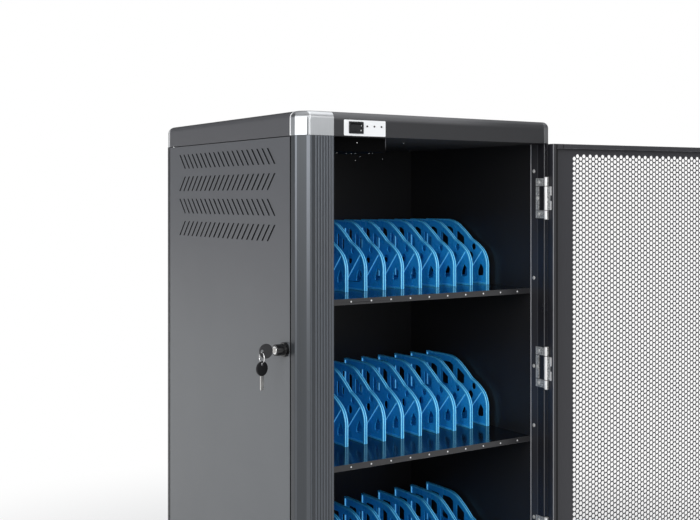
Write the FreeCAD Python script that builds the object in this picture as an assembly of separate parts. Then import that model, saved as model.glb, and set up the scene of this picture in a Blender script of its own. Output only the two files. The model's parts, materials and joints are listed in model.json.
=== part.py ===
import FreeCAD, Part

import math
import os

from FreeCAD import Vector

# Charging cabinet on casters. Origin on the floor under the middle of the body,
# X to the right of someone facing the door, Y to the back, Z up.

# Body
body_width = 640.0
body_depth = 640.0
total_height = 1200.0
caster_height = 120.0
base_height = 48.0
cap_height = 47.0
sheet = 2.0
thin_sheet = 1.5
running_gap = 0.3
running_fit = 0.05
screw_fit = 0.1
overrun = 2.0

# Plan corners
corner_cut_x = 20.0
corner_cut_y = 25.0
rear_corner_radius = 5.0
cap_top_radius = 14.0
base_flange = 16.0
threshold_depth = 58.0

# Left front post, a ridged extrusion
left_post_width = 72.0
left_post_depth = 40.0
post_wall = 2.5
ridge_count = 6
ridge_pitch = 6.2
ridge_half_width = 2.4
ridge_height = 1.2
ridge_edge_offset = 7.6
corner_bead_radius = 2.4

# Right front post, a folded frame member
right_post_width = 24.0
right_post_depth = 56.0
fold_offset = 30.0
fold_step = 1.5
front_fold = 8.0
front_step = 1.0
frame_screw_setback = 44.0
frame_screw_steps = [(0, -90.0), (0, 36.0), (1, -133.0), (1, -1.0), (1, 195.0), (2, 60.0)]
screw_head_radius = 3.6
screw_head_height = 1.5
screw_radius = 2.0
screw_length = 5.0

# Rear posts
rear_post_width = 30.0
rear_post_depth = 11.0

# Corner caps
left_cap_width = 72.0
left_cap_depth = 45.0
right_cap_width = 31.5
cap_seam = 0.3

# Side panels and back panel
door_seam_bottom = 2.0
door_seam_top = 1.5
panel_front_seam = 4.0
panel_rear_seam = 3.0
panel_depth = 18.0
back_flange = 12.0
vent_rows = 4
vent_count = 20
vent_row_pitch = 50.8
vent_pitch = 22.75
vent_height = 32.0
vent_run = 30.0
vent_width = 5.0
vent_top_margin = 18.7
vent_front_margin = 59.0
back_vent_count = 16

# Side panel pivots
pivot_inset_x = 6.0
pivot_inset_y = 11.0
pivot_radius = 3.0
pivot_reach = 8.0
pivot_collar_radius = 5.5
pivot_head_radius = 3.8
pivot_head_height = 3.0

# Inner walls and shelves
inner_wall = 2.0
back_wall_inset = 120.0
lead_gap = 40.0
shelf_count = 3
top_bay_height = 320.5
lowest_shelf_rise = 4.5
shelf_setback = 56.0
lip_height = 12.0
rivet_count = 11
rivet_pitch = 48.2
first_rivet_offset = 25.4
rivet_head_radius = 2.1
rivet_head_height = 0.8
rivet_radius = 1.2
rivet_length = 3.4

# Device dividers
divider_setback = 133.0
divider_length = 240.0
divider_height = 150.0
divider_web = 2.4
divider_rim_width = 8.0
divider_rim = 4.0
divider_rib = 3.0
divider_rib_width = 6.0
divider_corner = 4.0
divider_front_shares = [(0.0, 0.0), (0.001, 0.24), (0.012, 0.4), (0.06, 0.527), (0.15, 0.627),
                        (0.25, 0.7), (0.338, 0.807), (0.46, 0.93), (0.54, 0.98), (0.62, 1.0)]
divider_rib_shares = [(0.075, 0.54), (0.3, 0.16)]
divider_round_shares = [(0.215, 0.575, 0.05), (0.265, 0.435, 0.06)]
divider_window_shares = [
    [(0.065, 0.14), (0.155, 0.12), (0.15, 0.21), (0.11, 0.33), (0.065, 0.25)],
    [(0.36, 0.12), (0.49, 0.12), (0.49, 0.47), (0.4, 0.47), (0.33, 0.3)],
    [(0.55, 0.12), (0.73, 0.12), (0.73, 0.42), (0.55, 0.42)],
    [(0.79, 0.12), (0.93, 0.12), (0.93, 0.42), (0.79, 0.42)],
    [(0.37, 0.58), (0.49, 0.58), (0.49, 0.83), (0.37, 0.72)],
    [(0.55, 0.52), (0.73, 0.52), (0.73, 0.88), (0.6, 0.88), (0.55, 0.84)],
    [(0.79, 0.52), (0.93, 0.52), (0.93, 0.88), (0.79, 0.88)],
]

# Control panel on the fascia
panel_left_offset = 94.0
panel_width = 96.0
panel_height = 31.0
panel_thickness = 1.5
panel_rise = 1.0
panel_corner = 2.0
rocker_left_offset = 10.6
rocker_width = 33.0
rocker_height = 23.3
rocker_rise = 4.3
bezel_lip = 1.8
bezel_body_inset = 2.2
bezel_wall = 1.5
bezel_depth = 20.0
paddle_clearance = 1.0
paddle_reach = 5.0
paddle_slope = 8.0
trunnion_radius = 1.5
trunnion_length = 1.2
lamp_radius = 1.75
lamp_count = 3
lamp_pitch = 16.7
lamp_first_offset = 52.8
lamp_rise = 19.3
lamp_proud = 0.6
lamp_depth = 6.0

# Control box, power strips and mains inlet
control_box_width = 132.0
control_box_depth = 120.0
control_box_height = 28.0
control_box_left_gap = 8.0
control_box_setback = 30.0
strip_length = 480.0
strip_height = 36.0
strip_depth = 30.0
strip_rise = 190.0
outlet_count = 10
outlet_size = 26.0
outlet_depth = 1.5
inlet_side_margin = 100.0
inlet_height = 230.0
inlet_flange_width = 50.0
inlet_flange_height = 30.0
inlet_flange = 2.5
inlet_body_width = 30.0
inlet_body_height = 23.0
inlet_body_depth = 24.0
inlet_socket_width = 24.0
inlet_socket_height = 16.0
inlet_socket_depth = 18.0
inlet_fit = 0.2

# Front door
door_open_angle = 173.0
door_thickness = 22.0
hinge_gap = 5.0
latch_gap = 2.0
door_flange = 10.0
sheet_margin = 4.0
window_side_margin = 60.0
window_end_margin = 17.0
perforated_sheet = 1.2
perforation_inset = 10.0
perforation_pitch = 38.15
perforation_column_pitch = 30.5
perforation_radius = 14.6

# Hinges
hinge_end_margin = 120.0
middle_hinge_shift = 0.5
hinge_axis_setback = 1.0
barrel_radius = 4.75
barrel_length = 90.0
door_knuckle_length = 52.0
leaf_thickness = 2.2
frame_leaf_depth = 35.0
frame_leaf_height = 88.0
frame_leaf_strip = 10.0
door_leaf_depth = 17.0
hinge_pin_radius = 2.0
hinge_pin_head = 1.5
knuckle_gap = 0.3
barrel_relief = 0.4
leaf_screw_spread = 35.0
leaf_screw_shift = 5.0

# Cam locks
side_lock_setback = 16.0
side_lock_height = 742.0
door_lock_setback = 32.0
door_lock_height = 661.0
lock_collar_radius = 14.0
lock_collar_height = 7.0
lock_barrel_radius = 11.0
side_lock_reach = 24.0
door_lock_reach = 12.0
lock_shank_radius = 9.9
lock_hole_radius = 10.0
side_lock_depth = 24.0
door_lock_depth = 22.5
plug_radius = 8.0
plug_proud = 1.0
plug_tail_radius = 4.0
plug_rivet_radius = 6.0
plug_rivet_height = 1.5
cam_thickness = 2.5
cam_half_width = 7.0
side_cam_reach = 30.0
door_cam_reach = 42.0
cam_clearance = 3.0
keyway_width = 2.3
keyway_height = 8.3
keyway_depth = 27.0

# Door pull
pull_height = 128.0
pull_reach = 26.0
pull_radius = 5.0
pull_bend = 12.0
pull_rise = 130.0

# Keys and split ring
blade_length = 27.0
blade_height = 8.0
blade_thickness = 2.0
bow_radius = 14.0
bow_thickness = 4.0
bow_hole_radius = 3.5
bow_hole_offset = 8.5
bow_join = 1.5
key_gap = 4.0
hanging_turn = 90.0
spare_key_turn = 16.0
ring_play = 0.5
ring_radius = 10.0
ring_wire_radius = 1.0

# Casters
caster_inset = 75.0
caster_plate_width = 92.0
caster_plate_depth = 76.0
caster_plate = 3.0
raceway_radius = 22.0
raceway_height = 6.0
kingpin_radius = 6.0
kingpin_head_radius = 9.0
kingpin_head = 3.0
crown_radius = 27.0
crown_height = 10.0
wheel_radius = 45.0
wheel_width = 26.0
hub_radius = 11.0
hub_width = 30.0
wheel_edge = 5.0
caster_trail = 28.0
rear_caster_turn = 90.0
fork_gap = 0.4
fork_plate = 3.0
fork_half_width = 12.0
axle_radius = 4.0
axle_head_radius = 6.5
axle_head = 4.0
pedal_pivot_back = 54.0
pedal_pivot_height = 91.0
pedal_pin_radius = 2.5
pedal_hub_radius = 5.0
pedal_length = 36.0
pedal_plate = 3.0
pedal_slope = 12.0

# Planes and levels that follow
x_left = -body_width / 2
x_right = body_width / 2
y_front = -body_depth / 2
y_back = body_depth / 2
z_base = caster_height
z_body = z_base + base_height
z_cap = total_height - cap_height
x_open_left = x_left + left_post_width
x_open_right = x_right - right_post_width
y_lip = y_front + shelf_setback
y_back_wall = y_back - back_wall_inset
y_rear_post = y_back - rear_post_depth
x_left_wall = x_open_left - inner_wall
z_door_bottom = z_body + door_seam_bottom
z_door_top = z_cap - door_seam_top
y_panel_front = y_front + left_post_depth + panel_front_seam
y_panel_rear = y_rear_post - panel_rear_seam
z_lowest_shelf = z_body + lowest_shelf_rise
shelf_pitch = (z_cap - top_bay_height - z_lowest_shelf) / (shelf_count - 1)
shelf_levels = [z_lowest_shelf + shelf_pitch * index for index in range(shelf_count)]
hinge_heights = [z_body + hinge_end_margin, (z_body + z_cap) / 2 + middle_hinge_shift,
                 z_cap - hinge_end_margin]
frame_screw_heights = [hinge_heights[index] + step for index, step in frame_screw_steps]
inlet_x = x_right - inlet_side_margin
hinge_x = x_open_right - hinge_gap / 2
hinge_y = y_front - hinge_axis_setback
x_door_hinge = x_open_right - hinge_gap
x_door_free = x_open_left + latch_gap
y_door_inside = y_front + door_thickness
side_lock_y = y_panel_front + side_lock_setback
door_lock_x = x_door_free + door_lock_setback
pivot_x = x_left + pivot_inset_x
pivot_y = y_panel_rear - pivot_inset_y

AXIS_X = Vector(1, 0, 0)
AXIS_Y = Vector(0, 1, 0)
AXIS_Z = Vector(0, 0, 1)


def box(x0, x1, y0, y1, z0, z1):
    return Part.makeBox(x1 - x0, y1 - y0, z1 - z0, Vector(x0, y0, z0))


def rod(start, axis, radius, length):
    return Part.makeCylinder(radius, length, start, axis)


def face_of(points):
    corners = [Vector(*point) for point in points]
    return Part.Face(Part.makePolygon(corners + corners[:1]))


def prism_z(points, z0, z1):
    return face_of([(x, y, z0) for x, y in points]).extrude(AXIS_Z * (z1 - z0))


def prism_x(points, x0, x1):
    return face_of([(x0, y, z) for y, z in points]).extrude(AXIS_X * (x1 - x0))


def joined(shapes):
    return shapes[0].multiFuse(shapes[1:]).removeSplitter()


def write(node, shapes):
    solids = []
    for shape in shapes:
        solids += shape.Solids
    for solid in solids:
        if not solid.isValid():
            print("not valid:", node)
    shape = solids[0] if len(solids) == 1 else Part.makeCompound(solids)
    shape.exportStep(os.path.join("parts", node + ".step"))
    print(node, len(solids), "solids", round(shape.Volume), "mm3")


# Outline of the body in plan, with both front corners cut off
def corner_cut(inset):
    run = math.hypot(corner_cut_x, corner_cut_y)
    cut_x = corner_cut_x + inset * (run - corner_cut_x) / corner_cut_y - inset
    cut_y = corner_cut_y + inset * (run - corner_cut_y) / corner_cut_x - inset
    return cut_x, cut_y


def plan_prism(z0, z1, inset=0.0):
    cut_x, cut_y = corner_cut(inset)
    left = x_left + inset
    right = x_right - inset
    front = y_front + inset
    back = y_back - inset
    return prism_z([(left, front + cut_y), (left + cut_x, front), (right - cut_x, front),
                    (right, front + cut_y), (right, back), (left, back)], z0, z1)


# Base tray with a folded rim, and a deep threshold at the front
def base_frame():
    body = plan_prism(z_base, z_body)
    hollow = plan_prism(z_base + sheet, z_body - sheet, sheet)
    mouth = box(x_left + base_flange, x_right - base_flange, y_front + threshold_depth,
                y_back - base_flange, z_body - sheet - overrun, z_body + overrun)
    pin_hole = rod(Vector(pivot_x, pivot_y, z_body - sheet - overrun), AXIS_Z,
                   pivot_radius + running_fit, sheet + 2 * overrun)
    return body.cut(hollow).cut(mouth).cut(pin_hole)


# Left front post: a hollow extrusion with a bead on its corner and ridges on its front
def left_post_outline():
    x_cut = x_left + corner_cut_x
    y_face = y_front + ridge_height
    y_rear = y_front + left_post_depth
    x_end = x_left + left_post_width
    first = x_end - ridge_edge_offset - ridge_pitch * (ridge_count - 1)
    edges = []

    def line(points):
        for start, end in zip(points, points[1:]):
            edges.append(Part.makeLine(Vector(*start, z_body), Vector(*end, z_body)))

    def ridge(x_middle, half_width):
        start = Vector(x_middle - half_width, y_face, z_body)
        top = Vector(x_middle, y_front, z_body)
        end = Vector(x_middle + half_width, y_face, z_body)
        edges.append(Part.Arc(start, top, end).toShape())
        return (x_middle + half_width, y_face)

    line([(x_end, y_rear), (x_left, y_rear), (x_left, y_front + corner_cut_y), (x_cut, y_face)])
    at = ridge(x_cut + corner_bead_radius, corner_bead_radius)
    for index in range(ridge_count):
        x_ridge = first + ridge_pitch * index
        line([at, (x_ridge - ridge_half_width, y_face)])
        at = ridge(x_ridge, ridge_half_width)
    x_fold = x_end - ridge_edge_offset / 2
    line([at, (x_fold - ridge_height, y_face), (x_fold, y_front), (x_end, y_front), (x_end, y_rear)])
    return Part.Face(Part.Wire(edges))


# How far below its lock a cam's tip first meets a wall at some distance from the lock
def strike_drop(reach, distance):
    return math.sqrt(reach ** 2 - distance ** 2) + cam_clearance


def left_front_post():
    post = left_post_outline().extrude(AXIS_Z * (z_cap - z_body))
    inset = post_wall + ridge_height
    cut_x, cut_y = corner_cut(inset)
    left = x_left + post_wall
    right = x_open_left - post_wall
    front = y_front + inset
    rear = y_front + left_post_depth - post_wall
    post = post.cut(prism_z([(left, front + cut_y), (left + cut_x, front), (right, front),
                             (right, rear), (left, rear)], z_body - overrun, z_cap + overrun))
    y_wall = y_front + left_post_depth
    x_cam = x_left + side_lock_depth + running_gap
    side_strike = box(x_cam - cam_clearance, x_cam + cam_thickness + cam_clearance,
                      y_wall - post_wall - overrun, y_wall + overrun,
                      side_lock_height - strike_drop(side_cam_reach, side_lock_y - y_wall),
                      side_lock_height + cam_half_width + cam_clearance)
    y_cam = y_front + door_lock_depth + running_gap
    door_strike = box(x_open_left - post_wall - overrun, x_open_left + overrun,
                      y_cam - cam_clearance, y_cam + cam_thickness + cam_clearance,
                      door_lock_height - strike_drop(door_cam_reach, door_lock_x - x_open_left),
                      door_lock_height + cam_half_width + cam_clearance)
    return post.cut(side_strike).cut(door_strike)


# Right front post: a folded frame member that carries the door's hinges
def right_front_post():
    y_fold = y_front + fold_offset
    y_side = y_front + left_post_depth
    y_rear = y_front + right_post_depth
    x_in = x_open_right + fold_step
    cut_x, cut_y = corner_cut(0.0)
    x_web = x_in + post_wall
    x_step = x_open_right + front_step
    y_step = y_front + front_fold
    post = prism_z([(x_step, y_front), (x_right - cut_x, y_front), (x_right, y_front + cut_y),
                    (x_right, y_side), (x_web, y_side), (x_web, y_rear), (x_in, y_rear),
                    (x_in, y_fold), (x_open_right, y_fold), (x_open_right, y_step),
                    (x_step, y_step)], z_body, z_cap)
    hollow = plan_prism(z_body - overrun, z_cap + overrun, post_wall)
    post = post.cut(hollow.common(box(x_web, x_right, y_front, y_side - post_wall,
                                      z_body - overrun, z_cap + overrun)))
    reliefs = []
    for height in hinge_heights:
        reliefs.append(barrel_space(height))
        for y, z in leaf_screw_places(height):
            reliefs.append(rod(Vector(x_open_right - overrun, y, z), AXIS_X, screw_radius + screw_fit,
                               screw_length + overrun))
    for height in frame_screw_heights:
        reliefs.append(rod(Vector(x_open_right, frame_screw_y(), height), AXIS_X,
                           screw_radius + screw_fit, screw_length + overrun))
    return post.cut(reliefs)


def rear_post(side):
    x_outer = side * body_width / 2
    x_inner = x_outer - side * rear_post_width
    x0, x1 = sorted((x_outer, x_inner))
    post = box(x0, x1, y_rear_post, y_back, z_body, z_cap)
    return post.cut(box(x0 + sheet, x1 - sheet, y_rear_post + sheet, y_back - sheet,
                        z_body - overrun, z_cap + overrun))


# Top cap, a deep lid in three pieces whose outer faces are one smooth form
def cap_form(inset):
    form = plan_prism(z_cap - inset, total_height - inset, inset)
    rear = [edge for edge in form.Edges
            if abs(edge.CenterOfMass.y - (y_back - inset)) < inset + sheet
            and edge.BoundBox.ZLength > cap_height / 2]
    form = form.makeFillet(rear_corner_radius - inset, rear)
    top = [edge for edge in form.Edges if edge.BoundBox.ZMin > total_height - inset - sheet / 2]
    return form.makeFillet(cap_top_radius - inset, top)


def cap_shell():
    return cap_form(0.0).cut(cap_form(sheet))


def cap_corner_space(x0, x1, seam):
    return box(x0 - seam, x1 + seam, y_front - overrun, y_front + left_cap_depth + seam,
               z_cap - overrun, total_height + overrun)


def left_corner_space(seam):
    return cap_corner_space(x_left - overrun, x_left + left_cap_width, seam)


def right_corner_space(seam):
    return cap_corner_space(x_right - right_cap_width, x_right + overrun, seam)


def top_cap(shell):
    cap = shell.cut([left_corner_space(cap_seam), right_corner_space(cap_seam)])
    return cap.cut([rocker_body(screw_fit)] + lamp_rods(screw_fit))


def ceiling_panel():
    panel = plan_prism(z_cap, z_cap + sheet, sheet)
    corners = [rear_corner_space(side) for side in (-1, 1)]
    pin_hole = rod(Vector(pivot_x, pivot_y, z_cap - overrun), AXIS_Z,
                   pivot_radius + running_fit, sheet + 2 * overrun)
    return panel.cut(corners).cut(pin_hole)


# What a rounded rear corner of the cap leaves outside it
def rear_corner_space(side):
    x_corner = side * body_width / 2
    x_mid = x_corner - side * rear_corner_radius
    y_mid = y_back - rear_corner_radius
    x0, x1 = sorted((x_corner, x_mid))
    square = box(x0, x1, y_mid, y_back, z_cap - overrun, z_cap + sheet + overrun)
    return square.cut(rod(Vector(x_mid, y_mid, z_cap - 2 * overrun), AXIS_Z,
                          rear_corner_radius - sheet, sheet + 4 * overrun))


# Slanted vent slots in the plane of a panel, as pairs of along and up places
def vent_outlines(first, step, top, count, lean):
    outlines = []
    for row in range(vent_rows):
        row_top = top - vent_row_pitch * row
        row_lean = lean if row % 2 == 0 else -lean
        for index in range(count):
            low = first + step * vent_pitch * index + (vent_run if row_lean * step < 0 else 0.0) * step
            high = low + row_lean * vent_run
            outlines.append([(low, row_top - vent_height), (low + vent_width, row_top - vent_height),
                             (high + vent_width, row_top), (high, row_top)])
    return outlines


def side_panel_tray(side, z0, z1):
    x_outer = side * body_width / 2
    x_inner = x_outer - side * panel_depth
    x_skin = x_outer - side * thin_sheet
    x0, x1 = sorted((x_outer, x_inner))
    hollow_x0, hollow_x1 = sorted((x_skin, x_inner - side * overrun))
    tray = box(x0, x1, y_panel_front, y_panel_rear, z0, z1)
    tray = tray.cut(box(hollow_x0, hollow_x1, y_panel_front + thin_sheet, y_panel_rear - thin_sheet,
                        z0 + thin_sheet, z1 - thin_sheet))
    slots = [prism_x(outline, x0 - overrun, x1 + overrun) for outline in
             vent_outlines(y_panel_front + vent_front_margin, 1, z_door_top - vent_top_margin, vent_count, 1)]
    return tray.cut(Part.makeCompound(slots))


# Side panel on the left, which swings on two pins at its rear edge
def side_panel():
    panel = side_panel_tray(-1, z_door_bottom, z_door_top)
    pin_space = rod(Vector(pivot_x, pivot_y, z_door_bottom - overrun), AXIS_Z,
                    pivot_radius + running_fit, z_door_top - z_door_bottom + 2 * overrun)
    lock_hole = rod(Vector(x_left - overrun, side_lock_y, side_lock_height), AXIS_X,
                    lock_hole_radius, thin_sheet + 2 * overrun)
    return panel.cut(pin_space).cut(lock_hole)


def right_side_panel():
    return side_panel_tray(1, z_body, z_cap)


def side_door_pins():
    foot = rod(Vector(pivot_x, pivot_y, z_body - pivot_reach), AXIS_Z, pivot_radius,
               2 * pivot_reach + door_seam_bottom)
    collar = rod(Vector(pivot_x, pivot_y, z_body), AXIS_Z, pivot_collar_radius,
                 door_seam_bottom - running_gap)
    top = rod(Vector(pivot_x, pivot_y, z_door_top - pivot_reach), AXIS_Z, pivot_radius,
              pivot_reach + door_seam_top + sheet)
    head = rod(Vector(pivot_x, pivot_y, z_cap + sheet), AXIS_Z, pivot_head_radius, pivot_head_height)
    return [joined([foot, collar]), joined([top, head])]


def back_panel():
    half = body_width / 2 - rear_post_width
    panel = box(-half, half, y_back - back_flange, y_back, z_body, z_cap)
    panel = panel.cut(box(thin_sheet - half, half - thin_sheet, y_back - back_flange - overrun,
                          y_back - thin_sheet, z_body + thin_sheet, z_cap - thin_sheet))
    slots = []
    span = vent_pitch * (back_vent_count - 1) + vent_run + vent_width
    for outline in vent_outlines(-span / 2, 1, z_cap - vent_top_margin, back_vent_count, 1):
        face = face_of([(x, y_back - back_flange - overrun, z) for x, z in outline])
        slots.append(face.extrude(AXIS_Y * (back_flange + 2 * overrun)))
    return panel.cut(Part.makeCompound(slots)).cut(inlet_body(inlet_fit))


# Inner walls and shelves
def inner_left_wall():
    return box(x_left_wall, x_open_left, y_front + left_post_depth, y_back_wall + inner_wall, z_body, z_cap)


def inner_right_wall():
    x_wall = x_open_right + fold_step
    return box(x_wall, x_wall + inner_wall, y_lip, y_back_wall + inner_wall, z_body, z_cap)


def inner_back_wall():
    return box(x_open_left + lead_gap, x_open_right + fold_step, y_back_wall, y_back_wall + inner_wall,
               z_body, z_cap)


def rivet_places():
    return [x_open_left + first_rivet_offset + rivet_pitch * index for index in range(rivet_count)]


def shelf(level, skirt):
    x_end = x_open_right + fold_step
    body = box(x_open_left, x_end, y_lip, y_back_wall, level - skirt, level)
    body = body.cut(box(x_open_left + sheet, x_end - sheet, y_lip + sheet, y_back_wall - sheet,
                        level - skirt - overrun, level - sheet))
    holes = [rod(Vector(x, y_lip - overrun, level - skirt / 2), AXIS_Y, rivet_radius + screw_fit,
                 sheet + 2 * overrun) for x in rivet_places()]
    return body.cut(holes)


def shelf_skirt(index):
    return lip_height if index else lowest_shelf_rise


def lip_rivets():
    rivets = []
    for index, level in enumerate(shelf_levels):
        for x in rivet_places():
            z = level - shelf_skirt(index) / 2
            head = rod(Vector(x, y_lip - rivet_head_height, z), AXIS_Y, rivet_head_radius, rivet_head_height)
            shank = rod(Vector(x, y_lip - rivet_head_height / 2, z), AXIS_Y, rivet_radius, rivet_length)
            rivets.append(joined([head, shank]))
    return rivets


# One device divider: a web with windows, a rim that curves up from the front, and a slanted rib
def divider_point(share):
    back, up = share
    return (y_lip + divider_setback + back * divider_length, up * divider_height)


def divider_outline():
    front = [Vector(0, *divider_point(share)) for share in divider_front_shares]
    arcs = [Part.Arc(*front[first:first + 3]).toShape() for first in range(1, len(front) - 2, 2)]
    y_end = y_lip + divider_setback + divider_length
    corners = [front[-1], Vector(0, y_end, divider_height), Vector(0, y_end, 0), front[0], front[1]]
    sides = [Part.makeLine(start, end) for start, end in zip(corners, corners[1:])]
    return Part.Wire(arcs + sides)


def divider_slab(wire, width):
    slab = Part.Face(wire).extrude(AXIS_X * width)
    slab.translate(AXIS_X * (-width / 2))
    return slab


def divider_window(shares):
    window = prism_x([divider_point(share) for share in shares], -divider_rim_width, divider_rim_width)
    rounded = [edge for edge in window.Edges if edge.BoundBox.XLength > divider_rim_width]
    return window.makeFillet(divider_corner, rounded)


def divider_rib_bar():
    start, end = [Vector(0, *divider_point(share)) for share in divider_rib_shares]
    run = end - start
    across = AXIS_X.cross(run).normalize() * (divider_rib / 2)
    ring = Part.makePolygon([start + across, end + across, end - across, start - across, start + across])
    return divider_slab(ring, divider_rib_width)


def divider():
    outline = divider_outline()
    rim = divider_slab(outline, divider_rim_width)
    rim = rim.cut(divider_slab(outline.makeOffset2D(-divider_rim), 2 * divider_rim_width))
    openings = [divider_window(shares) for shares in divider_window_shares]
    for back, up, radius in divider_round_shares:
        y, z = divider_point((back, up))
        openings.append(rod(Vector(-divider_rim_width, y, z), AXIS_X, radius * divider_height,
                            2 * divider_rim_width))
    web = divider_slab(outline, divider_web).cut(openings)
    return joined([web, rim, divider_rib_bar()])


def dividers(level):
    model = divider()
    copies = []
    for x in rivet_places():
        copy = model.copy()
        copy.translate(Vector(x + rivet_pitch / 2, 0, level))
        copies.append(copy)
    return copies


# Control panel, rocker switch and lamps
def panel_left():
    return x_left + panel_left_offset


def panel_bottom():
    return z_cap + panel_rise


def rounded_plate(x0, x1, y0, y1, z0, z1, radius):
    plate = box(x0, x1, y0, y1, z0, z1)
    edges = [edge for edge in plate.Edges if edge.BoundBox.YLength > (y1 - y0) / 2]
    return plate.makeFillet(radius, edges)


def rocker_body(fit):
    x0 = panel_left() + rocker_left_offset + bezel_body_inset
    z0 = panel_bottom() + rocker_rise + bezel_body_inset
    return box(x0 - fit, x0 + rocker_width - 2 * bezel_body_inset + fit, y_front - panel_thickness,
               y_front + bezel_depth, z0 - fit, z0 + rocker_height - 2 * bezel_body_inset + fit)


def lamp_rods(fit):
    z = panel_bottom() + lamp_rise
    start = y_front - panel_thickness - lamp_proud
    return [rod(Vector(panel_left() + lamp_first_offset + lamp_pitch * index, start, z), AXIS_Y,
                lamp_radius + fit, lamp_depth + fit) for index in range(lamp_count)]


def control_panel():
    plate = rounded_plate(panel_left(), panel_left() + panel_width, y_front - panel_thickness, y_front,
                          panel_bottom(), panel_bottom() + panel_height, panel_corner)
    return plate.cut([rocker_body(screw_fit)] + lamp_rods(screw_fit))


def rocker_pivot():
    x = panel_left() + rocker_left_offset + rocker_width / 2
    z = panel_bottom() + rocker_rise + rocker_height / 2
    return Vector(x, y_front - panel_thickness - bezel_lip + paddle_reach, z)


def rocker_bezel():
    x0 = panel_left() + rocker_left_offset
    z0 = panel_bottom() + rocker_rise
    y_face = y_front - panel_thickness
    lip = rounded_plate(x0, x0 + rocker_width, y_face - bezel_lip, y_face, z0, z0 + rocker_height,
                        bezel_wall)
    inset = bezel_body_inset + bezel_wall
    hollow = box(x0 + inset, x0 + rocker_width - inset, y_face - bezel_lip - overrun,
                 y_front + bezel_depth - bezel_wall, z0 + inset, z0 + rocker_height - inset)
    pivot = rocker_pivot()
    half = rocker_width / 2 - bezel_body_inset - bezel_wall + trunnion_length
    bore = rod(Vector(pivot.x - half, pivot.y, pivot.z), AXIS_X, trunnion_radius + running_fit, 2 * half)
    return joined([lip, rocker_body(0.0)]).cut(hollow).cut(bore)


def rocker_switch():
    pivot = rocker_pivot()
    inset = bezel_body_inset + bezel_wall
    half_x = rocker_width / 2 - inset - running_gap
    half_z = rocker_height / 2 - inset - paddle_clearance
    rise = half_z * math.tan(math.radians(paddle_slope))
    outline = [(-paddle_reach, half_z), (rise - paddle_reach, 0.0), (-paddle_reach, -half_z),
               (paddle_reach, 0.0)]
    points = [(pivot.y + y, pivot.z + z) for y, z in outline]
    paddle = prism_x(points, pivot.x - half_x, pivot.x + half_x)
    paddle.rotate(pivot, AXIS_X, paddle_slope)
    half = half_x + trunnion_length
    pin = rod(Vector(pivot.x - half, pivot.y, pivot.z), AXIS_X, trunnion_radius, 2 * half)
    return joined([paddle, pin])


# Electrical pieces
def control_box():
    x0 = x_open_left + control_box_left_gap
    y0 = y_front + control_box_setback
    shell = box(x0, x0 + control_box_width, y0, y0 + control_box_depth, z_cap - control_box_height, z_cap)
    return shell.cut(box(x0 + thin_sheet, x0 + control_box_width - thin_sheet, y0 + thin_sheet,
                         y0 + control_box_depth - thin_sheet, z_cap - control_box_height + thin_sheet,
                         z_cap + overrun))


def power_strip(level):
    x0 = (x_open_left + lead_gap + x_open_right - strip_length) / 2
    y0 = y_back_wall + inner_wall
    z0 = level + strip_rise
    strip = box(x0, x0 + strip_length, y0, y0 + strip_depth, z0, z0 + strip_height)
    pitch = strip_length / outlet_count
    outlets = []
    for index in range(outlet_count):
        x = x0 + pitch * (index + 0.5) - outlet_size / 2
        z = z0 + (strip_height - outlet_size) / 2
        outlets.append(box(x, x + outlet_size, y0 + strip_depth - outlet_depth,
                           y0 + strip_depth + overrun, z, z + outlet_size))
    return strip.cut(outlets)


def inlet_box(width, height, y0, y1):
    return box(inlet_x - width / 2, inlet_x + width / 2, y0, y1,
               inlet_height - height / 2, inlet_height + height / 2)


def inlet_body(fit):
    return inlet_box(inlet_body_width + fit, inlet_body_height + fit, y_back - inlet_body_depth, y_back)


def mains_inlet():
    flange = inlet_box(inlet_flange_width, inlet_flange_height, y_back, y_back + inlet_flange)
    y_face = y_back + inlet_flange
    socket = inlet_box(inlet_socket_width, inlet_socket_height, y_face - inlet_socket_depth,
                       y_face + overrun)
    return joined([flange, inlet_body(0.0)]).cut(socket)


# Front door, modelled shut and then swung open about its hinges
def opened(shape):
    shape.rotate(Vector(hinge_x, hinge_y, 0), AXIS_Z, door_open_angle)
    return shape


def door_frame():
    skin = y_front + thin_sheet
    frame = box(x_door_free, x_door_hinge, y_front, y_door_inside, z_door_bottom, z_door_top)
    frame = frame.cut(box(x_door_free + thin_sheet, x_door_hinge - thin_sheet, skin,
                          y_door_inside - thin_sheet, z_door_bottom + thin_sheet, z_door_top - thin_sheet))
    frame = frame.cut(box(x_door_free + door_flange, x_door_hinge - door_flange,
                          y_door_inside - thin_sheet - overrun, y_door_inside + overrun,
                          z_door_bottom + door_flange, z_door_top - door_flange))
    frame = frame.cut(box(x_door_free + window_side_margin, x_door_hinge - window_side_margin,
                          y_front - overrun, skin + overrun, z_door_bottom + window_end_margin,
                          z_door_top - window_end_margin))
    reliefs = [barrel_space(height) for height in hinge_heights]
    return frame.cut(reliefs).cut(door_lock_hole())


def door_lock_hole():
    return rod(Vector(door_lock_x, y_front - overrun, door_lock_height), AXIS_Y, lock_hole_radius,
               thin_sheet + perforated_sheet + 2 * overrun)


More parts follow.
